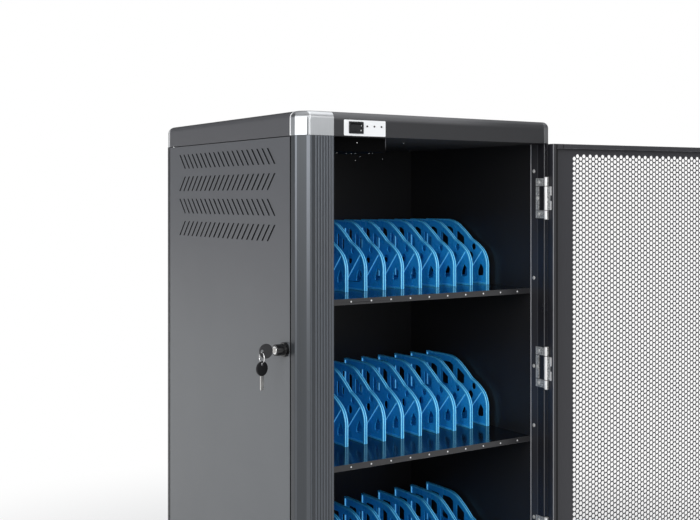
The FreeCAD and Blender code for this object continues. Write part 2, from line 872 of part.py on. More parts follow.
# The perforated sheet, in its own pattern of larger holes
def door_mesh():
    x0 = x_door_free + sheet_margin
    x1 = x_door_hinge - sheet_margin
    z0 = z_door_bottom + sheet_margin
    z1 = z_door_top - sheet_margin
    y0 = y_front + thin_sheet
    rim = perforation_inset + perforation_radius - sheet_margin
    usable_x = x1 - x0 - 2 * (rim + window_side_margin)
    usable_z = z1 - z0 - 2 * (rim + window_end_margin) - perforation_pitch / 2
    columns = int(usable_x / perforation_column_pitch) + 1
    rows = int(usable_z / perforation_pitch) + 1
    x_first = (x0 + x1 - perforation_column_pitch * (columns - 1)) / 2
    z_first = (z0 + z1 - perforation_pitch * (rows - 0.5)) / 2
    outer = Part.makePolygon([Vector(x0, y0, z0), Vector(x1, y0, z0), Vector(x1, y0, z1),
                              Vector(x0, y0, z1), Vector(x0, y0, z0)])
    wires = [outer]
    for column in range(columns):
        for row in range(rows):
            x = x_first + perforation_column_pitch * column
            z = z_first + perforation_pitch * (row + 0.5 * (column % 2))
            circle = Part.makeCircle(perforation_radius, Vector(x, y0, z), AXIS_Y)
            wires.append(Part.Wire(circle))
    face = Part.makeFace(wires, "Part::FaceMakerBullseye")
    return face.extrude(AXIS_Y * perforated_sheet).cut(door_lock_hole())


# Hinges: two outer knuckles on a C-shaped frame leaf, one middle knuckle on the door leaf
def barrel_space(height):
    reach = barrel_length / 2 + hinge_pin_head + barrel_relief
    return rod(Vector(hinge_x, hinge_y, height - reach), AXIS_Z, barrel_radius + barrel_relief, 2 * reach)


def leaf_screw_places(height):
    y = hinge_y + frame_leaf_depth - frame_leaf_strip / 2
    return [(y - leaf_screw_shift, height - leaf_screw_spread), (y, height),
            (y - leaf_screw_shift, height + leaf_screw_spread)]


def frame_screw_y():
    return y_front + frame_screw_setback


def knuckle(z0, z1):
    return rod(Vector(hinge_x, hinge_y, z0), AXIS_Z, barrel_radius, z1 - z0)


def pin_bore(height):
    return rod(Vector(hinge_x, hinge_y, height - barrel_length), AXIS_Z, hinge_pin_radius + running_fit,
               2 * barrel_length)


def frame_leaf(height):
    x0 = x_open_right - leaf_thickness
    half = frame_leaf_height / 2
    plate = box(x0, x_open_right, hinge_y, hinge_y + frame_leaf_depth, height - half, height + half)
    gap_half = door_knuckle_length / 2 + knuckle_gap
    window = box(x0 - barrel_radius, x_open_right + overrun, hinge_y - overrun,
                 hinge_y + frame_leaf_depth - frame_leaf_strip, height - gap_half, height + gap_half)
    ends = [knuckle(height + gap_half, height + barrel_length / 2),
            knuckle(height - barrel_length / 2, height - gap_half)]
    holes = [rod(Vector(x0 - overrun, y, z), AXIS_X, screw_radius + screw_fit,
                 leaf_thickness + 2 * overrun) for y, z in leaf_screw_places(height)]
    return joined([plate.cut(window)] + ends).cut(pin_bore(height)).cut(holes)


def door_leaf(height):
    half = door_knuckle_length / 2
    plate = box(x_door_hinge, x_door_hinge + leaf_thickness, hinge_y, hinge_y + door_leaf_depth,
                height - half, height + half)
    return joined([plate, knuckle(height - half, height + half)]).cut(pin_bore(height))


def hinge_pin(height):
    half = barrel_length / 2
    pin = rod(Vector(hinge_x, hinge_y, height - half), AXIS_Z, hinge_pin_radius, barrel_length)
    heads = [rod(Vector(hinge_x, hinge_y, height + half), AXIS_Z, barrel_radius, hinge_pin_head),
             rod(Vector(hinge_x, hinge_y, height - half - hinge_pin_head), AXIS_Z, barrel_radius,
                 hinge_pin_head)]
    return joined([pin] + heads)


def screw_into_post(x_seat, y, z):
    head = rod(Vector(x_seat - screw_head_height, y, z), AXIS_X, screw_head_radius, screw_head_height)
    crown = [edge for edge in head.Edges if edge.BoundBox.XMax < x_seat - screw_head_height / 2]
    head = head.makeFillet(screw_head_height / 2, crown)
    shank = rod(Vector(x_seat - screw_head_height / 2, y, z), AXIS_X, screw_radius, screw_length)
    return joined([head, shank])


def frame_screws():
    screws = [screw_into_post(x_open_right + fold_step, frame_screw_y(), height)
              for height in frame_screw_heights]
    for height in hinge_heights:
        for y, z in leaf_screw_places(height):
            screws.append(screw_into_post(x_open_right - leaf_thickness, y, z))
    return screws


# A cam lock along an axis: fixed body, turning plug and cam. Its skin is at the start.
def lock_body(skin, axis, reach, depth):
    collar = rod(skin - axis * lock_collar_height, axis, lock_collar_radius, lock_collar_height)
    barrel = rod(skin - axis * reach, axis, lock_barrel_radius, reach)
    shank = rod(skin, axis, lock_shank_radius, depth)
    bore = rod(skin - axis * (reach + overrun), axis, plug_radius + running_fit,
               reach + depth + 2 * overrun)
    return joined([collar, barrel, shank]).cut(bore)


def lock_plug(skin, axis, reach, depth, keyway):
    length = plug_proud + reach + depth
    front = rod(skin - axis * (reach + plug_proud), axis, plug_radius, length)
    tail_length = cam_thickness + 2 * running_gap
    tail = rod(skin + axis * (depth - overrun), axis, plug_tail_radius, tail_length + overrun)
    rivet = rod(skin + axis * (depth + tail_length), axis, plug_rivet_radius, plug_rivet_height)
    return joined([front, tail, rivet]).cut(keyway)


def lock_cam(skin, axis, across, depth, reach):
    seat = skin + axis * (depth + running_gap)
    hub = rod(seat, axis, cam_half_width, cam_thickness)
    tip = rod(seat - AXIS_Z * (reach - cam_half_width), axis, cam_half_width, cam_thickness)
    low = seat - across * cam_half_width - AXIS_Z * (reach - cam_half_width)
    corners = [low, low + across * 2 * cam_half_width, seat + across * cam_half_width,
               seat - across * cam_half_width, low]
    arm = Part.Face(Part.makePolygon(corners)).extrude(axis * cam_thickness)
    bore = rod(seat - axis * overrun, axis, plug_tail_radius + running_fit, cam_thickness + 2 * overrun)
    return joined([hub, tip, arm]).cut(bore)


def side_lock_skin():
    return Vector(x_left, side_lock_y, side_lock_height)


def door_lock_skin():
    return Vector(door_lock_x, y_front, door_lock_height)


def side_keyway():
    mouth = x_left - side_lock_reach - plug_proud
    return box(mouth - overrun, mouth + keyway_depth, side_lock_y - keyway_width / 2,
               side_lock_y + keyway_width / 2, side_lock_height - keyway_height / 2,
               side_lock_height + keyway_height / 2)


def door_keyway():
    mouth = y_front - door_lock_reach - plug_proud
    return box(door_lock_x - keyway_width / 2, door_lock_x + keyway_width / 2, mouth - overrun,
               mouth + keyway_depth, door_lock_height - keyway_height / 2,
               door_lock_height + keyway_height / 2)


# Door pull, a bent bar on the outside of the door
def door_pull():
    x = door_lock_x
    z_mid = door_lock_height + pull_rise
    low = z_mid - pull_height / 2
    high = z_mid + pull_height / 2
    y_out = y_front - pull_reach
    bend = pull_bend
    slant = bend * math.sqrt(0.5)
    edges = [Part.makeLine(Vector(x, y_front, low), Vector(x, y_out + bend, low)),
             Part.Arc(Vector(x, y_out + bend, low), Vector(x, y_out + bend - slant, low + bend - slant),
                      Vector(x, y_out, low + bend)).toShape(),
             Part.makeLine(Vector(x, y_out, low + bend), Vector(x, y_out, high - bend)),
             Part.Arc(Vector(x, y_out, high - bend), Vector(x, y_out + bend - slant, high - bend + slant),
                      Vector(x, y_out + bend, high)).toShape(),
             Part.makeLine(Vector(x, y_out + bend, high), Vector(x, y_front, high))]
    ring = Part.Wire(Part.makeCircle(pull_radius, Vector(x, y_front, low), AXIS_Y))
    return Part.Wire(edges).makePipeShell([ring], True, False)


# A key with its blade along +X from the origin and its bow behind it, in the XZ plane
def key():
    blade = box(-bow_join, blade_length, -blade_thickness / 2, blade_thickness / 2,
                -blade_height / 2, blade_height / 2)
    bow = rod(Vector(-bow_radius, -bow_thickness / 2, 0), AXIS_Y, bow_radius, bow_thickness)
    rims = [edge for edge in bow.Edges if edge.BoundBox.YLength < bow_thickness / 2]
    bow = bow.makeFillet(bow_thickness / 4, rims)
    hole = rod(Vector(-key_hole_reach(), -bow_thickness, 0), AXIS_Y, bow_hole_radius, 2 * bow_thickness)
    return joined([blade, bow]).cut(hole)


def key_hole_reach():
    return bow_radius + bow_hole_offset


# How far a wire that rests on the rim of a key's hole is from the hole's middle
def wire_drop():
    return bow_hole_radius - ring_wire_radius - ring_play


def key_face():
    return x_left - side_lock_reach - plug_proud - key_gap


def ring_top():
    return Vector(key_face() - key_hole_reach(), side_lock_y, side_lock_height - wire_drop())


def key_in_lock():
    return placed(key(), Vector(key_face(), side_lock_y, side_lock_height))


def key_ring():
    return Part.makeTorus(ring_radius, ring_wire_radius, ring_top() - AXIS_Z * ring_radius, AXIS_X)


def spare_key():
    shape = key()
    shape.rotate(Vector(0, 0, 0), AXIS_Y, hanging_turn)
    shape.rotate(Vector(0, 0, 0), AXIS_Z, spare_key_turn)
    return placed(shape, ring_top() - AXIS_Z * (2 * ring_radius + wire_drop() + key_hole_reach()))


# One swivel caster with its trail towards the back, built on the Z axis
def caster_plate_shape():
    z_plate = caster_height - caster_plate
    z_race = z_plate - raceway_height
    z_crown = z_race - running_gap - crown_height
    half_x = caster_plate_width / 2
    half_y = caster_plate_depth / 2
    plate = box(-half_x, half_x, -half_y, half_y, z_plate, caster_height)
    race = rod(Vector(0, 0, z_race), AXIS_Z, raceway_radius, raceway_height)
    pin = rod(Vector(0, 0, z_crown - running_gap), AXIS_Z, kingpin_radius,
              crown_height + 2 * running_gap)
    head = rod(Vector(0, 0, z_crown - running_gap - kingpin_head), AXIS_Z, kingpin_head_radius,
               kingpin_head)
    return joined([plate, race, pin, head])


def fork_leg(side):
    z_crown = caster_height - caster_plate - raceway_height - running_gap
    x0 = side * (hub_width / 2 + fork_gap)
    x1 = x0 + side * fork_plate
    x0, x1 = sorted((x0, x1))
    z_low = wheel_radius - fork_half_width
    points = [(-crown_radius / 2, z_crown), (-crown_radius / 2, z_crown - crown_height),
              (caster_trail - fork_half_width, wheel_radius), (caster_trail - fork_half_width / 2, z_low),
              (caster_trail + fork_half_width / 2, z_low), (caster_trail + fork_half_width, wheel_radius),
              (pedal_pivot_back + pedal_hub_radius, pedal_pivot_height - pedal_hub_radius),
              (pedal_pivot_back + pedal_hub_radius, pedal_pivot_height + pedal_hub_radius),
              (crown_radius / 2, z_crown)]
    return prism_x(points, x0, x1)


def pedal_pivot():
    return Vector(0, pedal_pivot_back, pedal_pivot_height)


def caster_fork(braked):
    z_race = caster_height - caster_plate - raceway_height
    z_crown = z_race - running_gap - crown_height
    crown = rod(Vector(0, 0, z_crown), AXIS_Z, crown_radius, crown_height)
    shapes = [crown, fork_leg(-1), fork_leg(1)]
    half = hub_width / 2 + fork_gap + fork_plate
    if braked:
        shapes.append(rod(pedal_pivot() - AXIS_X * half, AXIS_X, pedal_pin_radius, 2 * half))
    fork = joined(shapes)
    bore = rod(Vector(0, 0, z_crown - overrun), AXIS_Z, kingpin_radius + running_fit,
               crown_height + 2 * overrun)
    axle_hole = rod(Vector(-half - overrun, caster_trail, wheel_radius), AXIS_X,
                    axle_radius + screw_fit, 2 * (half + overrun))
    return fork.cut([bore, axle_hole])


def caster_axle():
    half = hub_width / 2 + fork_gap + fork_plate
    shank = rod(Vector(-half, caster_trail, wheel_radius), AXIS_X, axle_radius, 2 * half)
    heads = [rod(Vector(-half - axle_head, caster_trail, wheel_radius), AXIS_X, axle_head_radius, axle_head),
             rod(Vector(half, caster_trail, wheel_radius), AXIS_X, axle_head_radius, axle_head)]
    return joined([shank] + heads)


def caster_wheel():
    tyre = rod(Vector(-wheel_width / 2, caster_trail, wheel_radius), AXIS_X, wheel_radius, wheel_width)
    tyre = tyre.makeFillet(wheel_edge, [edge for edge in tyre.Edges if edge.BoundBox.XLength < overrun])
    hub = rod(Vector(-hub_width / 2, caster_trail, wheel_radius), AXIS_X, hub_radius, hub_width)
    bore = rod(Vector(-hub_width, caster_trail, wheel_radius), AXIS_X, axle_radius + running_fit,
               2 * hub_width)
    return joined([tyre, hub]).cut(bore)


def brake_pedal():
    pivot = pedal_pivot()
    half = hub_width / 2 - running_gap
    hub = rod(pivot - AXIS_X * half, AXIS_X, pedal_hub_radius, 2 * half)
    top = pivot.z + pedal_hub_radius
    plate = box(-half, half, pivot.y, pivot.y + pedal_length, top - pedal_plate, top)
    pedal = joined([hub, plate])
    bore = rod(pivot - AXIS_X * hub_width, AXIS_X, pedal_pin_radius + running_fit, 2 * hub_width)
    pedal = pedal.cut(bore)
    pedal.rotate(pivot, AXIS_X, pedal_slope)
    return pedal


def caster_places():
    x = body_width / 2 - caster_inset
    y = body_depth / 2 - caster_inset
    return {"front_left": Vector(-x, -y, 0), "front_right": Vector(x, -y, 0),
            "rear_left": Vector(-x, y, 0), "rear_right": Vector(x, y, 0)}


# The casters stand as they stop after a push: the front ones trail back, the rear ones outwards
def caster_turns():
    return {"front_left": 0.0, "front_right": 0.0, "rear_left": rear_caster_turn,
            "rear_right": -rear_caster_turn}


def placed(shape, place, turn=0.0):
    shape.rotate(Vector(0, 0, 0), AXIS_Z, turn)
    shape.translate(place)
    return shape


def write_casters():
    places = caster_places()
    write("caster_plates", [placed(caster_plate_shape(), place) for place in places.values()])
    for corner, place in places.items():
        braked = corner.startswith("front")
        turn = caster_turns()[corner]
        write("caster_fork_" + corner, [placed(caster_fork(braked), place, turn)])
        write("caster_wheel_" + corner, [placed(caster_wheel(), place, turn)])
        write("caster_axle_" + corner, [placed(caster_axle(), place, turn)])
        if braked:
            write("brake_pedal_" + corner, [placed(brake_pedal(), place, turn)])


def write_body():
    shell = cap_shell()
    write("base_frame", [base_frame()])
    write("left_front_post", [left_front_post()])
    write("right_front_post", [right_front_post()])
    write("rear_posts", [rear_post(-1), rear_post(1)])
    write("top_cap", [top_cap(shell)])
    write("left_corner_cap", [shell.common(left_corner_space(0.0))])
    write("right_corner_cap", [shell.common(right_corner_space(0.0))])
    write("ceiling_panel", [ceiling_panel()])
    write("right_side_panel", [right_side_panel()])
    write("back_panel", [back_panel()])
    write("side_door_pins", side_door_pins())
    write("inner_left_wall", [inner_left_wall()])
    write("inner_right_wall", [inner_right_wall()])
    write("inner_back_wall", [inner_back_wall()])


def write_shelves():
    for index, name in enumerate(("lower", "middle", "upper")):
        level = shelf_levels[index]
        write(name + "_shelf", [shelf(level, shelf_skirt(index))])
        write(name + "_dividers", dividers(level))
    write("lip_rivets", lip_rivets())


def write_electrics():
    write("control_panel", [control_panel()])
    write("rocker_bezel", [rocker_bezel()])
    write("rocker_switch", [rocker_switch()])
    write("indicator_lamps", lamp_rods(0.0))
    write("control_box", [control_box()])
    write("power_strips", [power_strip(level) for level in shelf_levels])
    write("mains_inlet", [mains_inlet()])


def write_front_door():
    skin = door_lock_skin()
    write("door_frame", [opened(door_frame())])
    write("door_mesh", [opened(door_mesh())])
    write("door_pull", [opened(door_pull())])
    write("hinge_frame_leaves", [frame_leaf(height) for height in hinge_heights])
    write("hinge_pins", [hinge_pin(height) for height in hinge_heights])
    write("hinge_door_leaves", [opened(door_leaf(height)) for height in hinge_heights])
    write("frame_screws", frame_screws())
    write("door_lock_body", [opened(lock_body(skin, AXIS_Y, door_lock_reach, door_lock_depth))])
    plug = lock_plug(skin, AXIS_Y, door_lock_reach, door_lock_depth, door_keyway())
    write("door_lock_plug", [opened(plug)])
    cam = lock_cam(skin, AXIS_Y, AXIS_X, door_lock_depth, door_cam_reach)
    write("door_lock_cam", [opened(cam)])


def write_side_door():
    skin = side_lock_skin()
    write("side_panel", [side_panel()])
    write("side_lock_body", [lock_body(skin, AXIS_X, side_lock_reach, side_lock_depth)])
    write("side_lock_plug", [lock_plug(skin, AXIS_X, side_lock_reach, side_lock_depth, side_keyway())])
    write("side_lock_cam", [lock_cam(skin, AXIS_X, AXIS_Y, side_lock_depth, side_cam_reach)])
    write("key_in_lock", [key_in_lock()])
    write("key_ring", [key_ring()])
    write("spare_key", [spare_key()])


os.makedirs("parts", exist_ok=True)
write_body()
write_shelves()
write_electrics()
write_front_door()
write_side_door()
write_casters()
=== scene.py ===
import json
import math

import bpy
from mathutils import Matrix, Vector


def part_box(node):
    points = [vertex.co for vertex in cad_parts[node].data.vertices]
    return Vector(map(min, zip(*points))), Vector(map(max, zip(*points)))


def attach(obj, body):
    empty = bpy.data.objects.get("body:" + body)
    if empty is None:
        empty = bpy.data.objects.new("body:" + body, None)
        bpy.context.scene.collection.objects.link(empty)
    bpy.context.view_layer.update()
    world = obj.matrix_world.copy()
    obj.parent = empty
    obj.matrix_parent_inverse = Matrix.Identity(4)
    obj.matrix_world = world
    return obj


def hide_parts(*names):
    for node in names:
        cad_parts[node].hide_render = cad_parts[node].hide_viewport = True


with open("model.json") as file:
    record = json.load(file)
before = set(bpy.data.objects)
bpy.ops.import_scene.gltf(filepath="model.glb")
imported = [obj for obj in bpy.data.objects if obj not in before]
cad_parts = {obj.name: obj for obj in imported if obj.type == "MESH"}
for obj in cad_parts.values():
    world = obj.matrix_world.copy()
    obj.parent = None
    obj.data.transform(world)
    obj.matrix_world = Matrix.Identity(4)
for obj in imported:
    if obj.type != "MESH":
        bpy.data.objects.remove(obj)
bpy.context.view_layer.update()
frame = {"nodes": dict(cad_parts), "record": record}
nodes = frame["nodes"]
bpy.context.scene.view_settings.view_transform = "Standard"
bpy.ops.object.select_all(action="DESELECT")


# Camera. It stands level, left of the open door and a little above the middle shelf, where the
# photograph was taken from.
photo_width = 700.0
photo_height = 520.0
photo_focal = 1103.0
photo_centre = (388.0, 198.0)
camera_turn = 33.9
camera_place = (-1.341, -2.132, 1.0335)
bpy.ops.object.camera_add(location=camera_place,
                          rotation=(math.radians(90), 0, math.radians(-camera_turn)))
camera = bpy.context.object
camera.data.sensor_width = 36.0
camera.data.lens = photo_focal / photo_width * camera.data.sensor_width
camera.data.shift_x = (photo_width / 2 - photo_centre[0]) / photo_width
camera.data.shift_y = (photo_centre[1] - photo_height / 2) / photo_width
bpy.context.scene.camera = camera


# Studio. A white floor and a white surround, with soft lamps on the left, beside the camera, in front
# and on the right. In mirrors the room's walls are grey and its ceiling is light.
class Value:
    """A socket of a finish under way: sums on it add the nodes that work them out."""

    def __init__(self, paint, socket):
        self.paint = paint
        self.socket = socket

    def __add__(self, other):
        return self.paint.sum("ADD", self, other)

    __radd__ = __add__

    def __sub__(self, other):
        return self.paint.sum("SUBTRACT", self, other)

    def __rsub__(self, other):
        return self.paint.sum("SUBTRACT", other, self)

    def __mul__(self, other):
        return self.paint.sum("MULTIPLY", self, other)

    __rmul__ = __mul__

    def __mod__(self, other):
        return self.paint.sum("FLOORED_MODULO", self, other)

    def __abs__(self):
        return self.paint.sum("ABSOLUTE", self)


class Paint:
    """The nodes of one finish, in a material's tree or the world's."""

    def __init__(self, owner):
        owner.use_nodes = True
        self.owner = owner
        self.tree = owner.node_tree
        self.tree.nodes.clear()

    def node(self, kind, settings=None, sockets=None, output=0):
        made = self.tree.nodes.new(kind)
        for name, value in (settings or {}).items():
            setattr(made, name, value)
        for name, value in (sockets or {}).items():
            if isinstance(value, Value):
                self.tree.links.new(value.socket, made.inputs[name])
            else:
                made.inputs[name].default_value = value
        return Value(self, made.outputs[output]) if len(made.outputs) else None

    def sum(self, operation, *values):
        return self.node("ShaderNodeMath", {"operation": operation}, dict(enumerate(values)))

    def place(self):
        return self.node("ShaderNodeTexCoord", output="Object")

    def along(self, axis):
        return self.node("ShaderNodeSeparateXYZ", sockets={0: self.place()}, output=axis)

    def facing(self, axis):
        normal = self.node("ShaderNodeNewGeometry", output="Normal")
        return self.node("ShaderNodeSeparateXYZ", sockets={0: normal}, output=axis)

    def noise(self, scale, detail=2.0, stretch=(1, 1, 1)):
        place = self.node("ShaderNodeMapping", sockets={"Vector": self.place(), "Scale": stretch})
        return self.node("ShaderNodeTexNoise", sockets={"Vector": place, "Scale": scale, "Detail": detail})

    def ramp(self, value, low, high, to_low=0.0, to_high=1.0):
        return self.node("ShaderNodeMapRange", {"interpolation_type": "SMOOTHSTEP"},
                         {0: value, 1: low, 2: high, 3: to_low, 4: to_high})

    def band(self, value, low, high):
        """One between two places along an axis in metres, nought beyond them."""
        soft = 0.0002
        rising = self.ramp(value, low - soft, low + soft)
        return rising * self.ramp(value, high - soft, high + soft, 1.0, 0.0)

    def mix(self, share, first, second):
        return self.node("ShaderNodeMix", {"data_type": "RGBA"}, {0: share, 6: first, 7: second}, output=2)

    def finish(self, colour, roughness, metallic=0.0, bumps=(), fixed=None):
        sockets = {"Base Color": colour, "Roughness": roughness, "Metallic": metallic}
        sockets.update(fixed or {})
        normal = None
        for height, strength, distance in bumps:
            bump = {"Height": height, "Strength": strength, "Distance": distance}
            if normal:
                bump["Normal"] = normal
            normal = self.node("ShaderNodeBump", sockets=bump)
        if normal:
            sockets["Normal"] = normal
        shader = self.node("ShaderNodeBsdfPrincipled", sockets=sockets)
        self.node("ShaderNodeOutputMaterial", sockets={"Surface": shader})
        return self.owner


light_path = "ShaderNodeLightPath"
room = Paint(bpy.data.worlds.new("studio"))
bpy.context.scene.world = room.owner
upward = room.node("ShaderNodeSeparateXYZ", sockets={0: room.node("ShaderNodeTexCoord")}, output=2)
mirrored = room.mix(room.ramp(upward, -0.02, 0.35), (0.5, 0.51, 0.53, 1), (0.2, 0.205, 0.215, 1))
mirrored = room.mix(room.ramp(upward, 0.55, 0.95), mirrored, (1.5, 1.52, 1.55, 1))
soft_sky = room.node("ShaderNodeBackground", sockets={"Color": (0.95, 0.97, 1, 1), "Strength": 0.5})
mirror_sky = room.node("ShaderNodeBackground", sockets={"Color": mirrored, "Strength": 1.0})
white_sky = room.node("ShaderNodeBackground", sockets={"Color": (1, 1, 1, 1)})
direct = room.sum("MAXIMUM", room.node(light_path, output="Is Camera Ray"),
                  room.node(light_path, output="Is Transmission Ray"))
shiny = room.node(light_path, output="Is Glossy Ray")
unseen = room.node("ShaderNodeMixShader", sockets={0: shiny, 1: soft_sky, 2: mirror_sky})
surround = room.node("ShaderNodeMixShader", sockets={0: direct, 1: unseen, 2: white_sky})
room.node("ShaderNodeOutputWorld", sockets={"Surface": surround})

# Each lamp's place, the point that it faces, its width and height in metres, and its power in watts.
studio_lamps = {
    "lamp_left": ((-2.6, -1.5, 1.9), (0, 0, 0.7), (1.6, 1.8), 38),
    "lamp_fill": ((-1.7, -3.0, 1.5), (0, 0, 0.7), (1.2, 1.2), 19),
    "lamp_front": ((1.2, -3.2, 2.1), (0, 0, 0.7), (1.8, 1.4), 9),
    "lamp_right": ((3.0, -0.6, 1.8), (0.2, 0, 0.7), (1.5, 1.5), 12)}
for name, (place, aim, size, power) in studio_lamps.items():
    bpy.ops.object.light_add(type="AREA", location=place)
    lamp = bpy.context.object
    lamp.name = name
    lamp.rotation_euler = (Vector(aim) - Vector(place)).to_track_quat("-Z", "Y").to_euler()
    lamp.data.shape = "RECTANGLE"
    lamp.data.size, lamp.data.size_y = size
    lamp.data.energy = power

bpy.ops.object.select_all(action="DESELECT")
bpy.ops.mesh.primitive_plane_add(size=40)
floor = bpy.context.object
floor.name = "studio_floor"
ground = Paint(bpy.data.materials.new("studio_floor"))
lit = ground.node("ShaderNodeBsdfPrincipled", sockets={"Base Color": (0.93, 0.93, 0.93, 1), "Roughness": 0.6})
bare = ground.node("ShaderNodeEmission", sockets={"Color": (1, 1, 1, 1)})
away = ground.node("ShaderNodeVectorMath", {"operation": "LENGTH"}, {0: ground.place()}, output="Value")
looked_at = ground.sum("MAXIMUM", ground.node(light_path, output="Is Camera Ray"),
                       ground.node(light_path, output="Is Transmission Ray"))
looked_at = ground.sum("MAXIMUM", looked_at, ground.node(light_path, output="Is Glossy Ray"))
fading = looked_at * ground.ramp(away, 0.9, 2.0, 0.55, 1.0)
both = ground.node("ShaderNodeMixShader", sockets={0: fading, 1: lit, 2: bare})
ground.node("ShaderNodeOutputMaterial", sockets={"Surface": both})
floor.data.materials.append(ground.owner)


# Base tray. Folded 2 mm steel sheet, welded at its corners and powder coated black. Its rim turns in
# to carry the body, and its front edge is a deep threshold under the door.
dust_grey = (0.36, 0.35, 0.33, 1)
# A lighter blue-grey, painted over the lower part of a coat as light.
lower_highlight_grey = (0.165, 0.188, 0.198, 1)


def powder_coat(name, colour, roughness, peel=0.12, tone=0.06, dust=0.0, mirror=0.5, lower_highlight=0.0):
    coat = Paint(bpy.data.materials.new(name))
    cloudy = coat.noise(5.0, 3.0)
    speckled = coat.noise(420.0, 2.0)
    dusty = coat.ramp(coat.along(2), 0.55, 0.1, 0.0, dust) * coat.ramp(coat.noise(14.0, 4.0), 0.3, 0.7)
    rubbed = coat.ramp(coat.noise(2.2, 5.0, (1, 1, 7)), 0.62, 0.75)
    dark = (*[c * (1 - tone) for c in colour], 1)
    light = (*[min(1, c * (1 + tone) + 0.002) for c in colour], 1)
    body = coat.mix(cloudy * 0.6 + speckled * 0.4, dark, light)
    # Painted light: from 0.95 m down to 0.6 m the coat is blended more and more towards the lighter
    # blue-grey.
    body = coat.mix(coat.ramp(coat.along(2), 0.95, 0.6, 0.0, lower_highlight), body, lower_highlight_grey)
    body = coat.mix(dusty, body, dust_grey)
    gloss = roughness - 0.04 + 0.08 * coat.noise(9.0, 3.0) + 0.05 * rubbed + 0.2 * dusty
    ripple = coat.noise(3.5, 1.0)
    orange_peel = coat.noise(650.0, 1.0)
    return coat.finish(body, gloss, bumps=((ripple, 0.25, 0.004), (orange_peel, peel, 0.0003)),
                       fixed={"Specular IOR Level": mirror})


# Paint for bevelled edges, lighter than the coat in patches: partly wear, partly a painted highlight on the
# edges.
def worn_edge_highlight(name, colour):
    coat = Paint(bpy.data.materials.new(name))
    rubbed = coat.ramp(coat.noise(60.0, 5.0), 0.48, 0.62)
    body = coat.mix(rubbed, (*colour, 1), (*[min(1, 0.03 + c * 1.9) for c in colour], 1))
    return coat.finish(body, 0.3 + 0.1 * coat.noise(90.0, 3.0), bumps=((coat.noise(500.0), 0.1, 0.0002),))


bodies = {node: body for body, members in frame["record"]["behaviour"]["bodies"].items()
          for node in members}


def only(*pieces):
    bpy.ops.object.select_all(action="DESELECT")
    for piece in pieces:
        piece.select_set(True)
    bpy.context.view_layer.objects.active = pieces[0]


def smoothed(piece, angle=40.0):
    only(piece)
    bpy.ops.object.shade_smooth_by_angle(angle=math.radians(angle))
    even = piece.modifiers.new("even", "WEIGHTED_NORMAL")
    even.keep_sharp = True
    bpy.ops.object.modifier_apply(modifier="even")


sharp_angle = 32.0


def rounded(piece, width, edge):
    only(piece)
    bevel = piece.modifiers.new("rounded", "BEVEL")
    bevel.width = width / 1000
    bevel.segments = 2
    bevel.limit_method = "ANGLE"
    bevel.angle_limit = math.radians(sharp_angle)
    bevel.use_clamp_overlap = False
    bevel.material = edge
    bpy.ops.object.modifier_apply(modifier="rounded")


def edged(node, width, *paints):
    """A copy of a solid with its sharp edges rounded to a width in mm. It stands for the solid."""
    piece = bpy.data.objects.new(node + "_made", nodes[node].data.copy())
    bpy.context.scene.collection.objects.link(piece)
    only(piece)
    bpy.ops.object.mode_set(mode="EDIT")
    bpy.ops.mesh.select_all(action="SELECT")
    bpy.ops.mesh.remove_doubles(threshold=0.00001)
    bpy.ops.mesh.dissolve_limited(angle_limit=math.radians(0.3))
    bpy.ops.object.mode_set(mode="OBJECT")
    piece.data.materials.clear()
    for paint in paints:
        piece.data.materials.append(paint)
    rounded(piece, width, len(paints) - 1)
    smoothed(piece)
    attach(piece, bodies[node])
    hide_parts(node)
    return piece


frame_colour = (0.014, 0.0145, 0.017)
frame_coat = powder_coat("frame_black", frame_colour, 0.33, dust=0.12)
frame_edge = worn_edge_highlight("frame_black_edge", frame_colour)
edged("base_frame", 0.8, frame_coat, frame_edge)


# Casters. Four zinc-plated swivel forks on square plates, each bolted to the base, with black rubber
# tyres on grey nylon hubs, and a plastic brake pedal on the two front ones.
tip = 0.01
tip_weld = 0.000021


def seated(piece, axis, place):
    """Turns a piece that stands upright at the origin onto an axis, and moves it to a place in mm."""
    turn = Vector((0, 0, 1)).rotation_difference(Vector(axis))
    piece.data.transform(Matrix.Translation(Vector(place) / 1000) @ turn.to_matrix().to_4x4())


def turned(name, profile, count, axis=(0, 0, 1), place=(0, 0, 0)):
    """A round piece, drawn out along its profile of (radius, height) in mm. A tip's ring becomes a point."""
    bpy.ops.object.select_all(action="DESELECT")
    radius, height = profile[0]
    bpy.ops.mesh.primitive_circle_add(vertices=count, radius=radius / 1000, location=(0, 0, height / 1000))
    piece = bpy.context.object
    piece.name = name
    only(piece)
    bpy.ops.object.transform_apply(location=True)
    bpy.ops.object.mode_set(mode="EDIT")
    bpy.ops.mesh.select_all(action="SELECT")
    for to_radius, to_height in profile[1:]:
        rise = (0, 0, (to_height - height) / 1000)
        bpy.ops.mesh.extrude_region_move(TRANSFORM_OT_translate={"value": rise})
        share = to_radius / radius
        bpy.ops.transform.resize(value=(share, share, 1), center_override=(0, 0, 0))
        radius, height = to_radius, to_height
    bpy.ops.mesh.select_all(action="SELECT")
    bpy.ops.mesh.remove_doubles(threshold=tip_weld)
    bpy.ops.mesh.normals_make_consistent(inside=False)
    bpy.ops.object.mode_set(mode="OBJECT")
    seated(piece, axis, place)
    return piece


def block(name, low, high, bevel=0.0):
    """A box between two corners in mm, with its edges rounded."""
    bpy.ops.object.select_all(action="DESELECT")
    middle = [(a + b) / 2000 for a, b in zip(low, high)]
    bpy.ops.mesh.primitive_cube_add(size=1, location=middle)
    piece = bpy.context.object
    piece.name = name
    piece.scale = [(b - a) / 1000 for a, b in zip(low, high)]
    bpy.ops.object.transform_apply(location=True, scale=True)
    if bevel:
        bpy.ops.object.mode_set(mode="EDIT")
        bpy.ops.mesh.select_all(action="SELECT")
        bpy.ops.mesh.bevel(offset=bevel / 1000, segments=2)
        bpy.ops.object.mode_set(mode="OBJECT")
    return piece


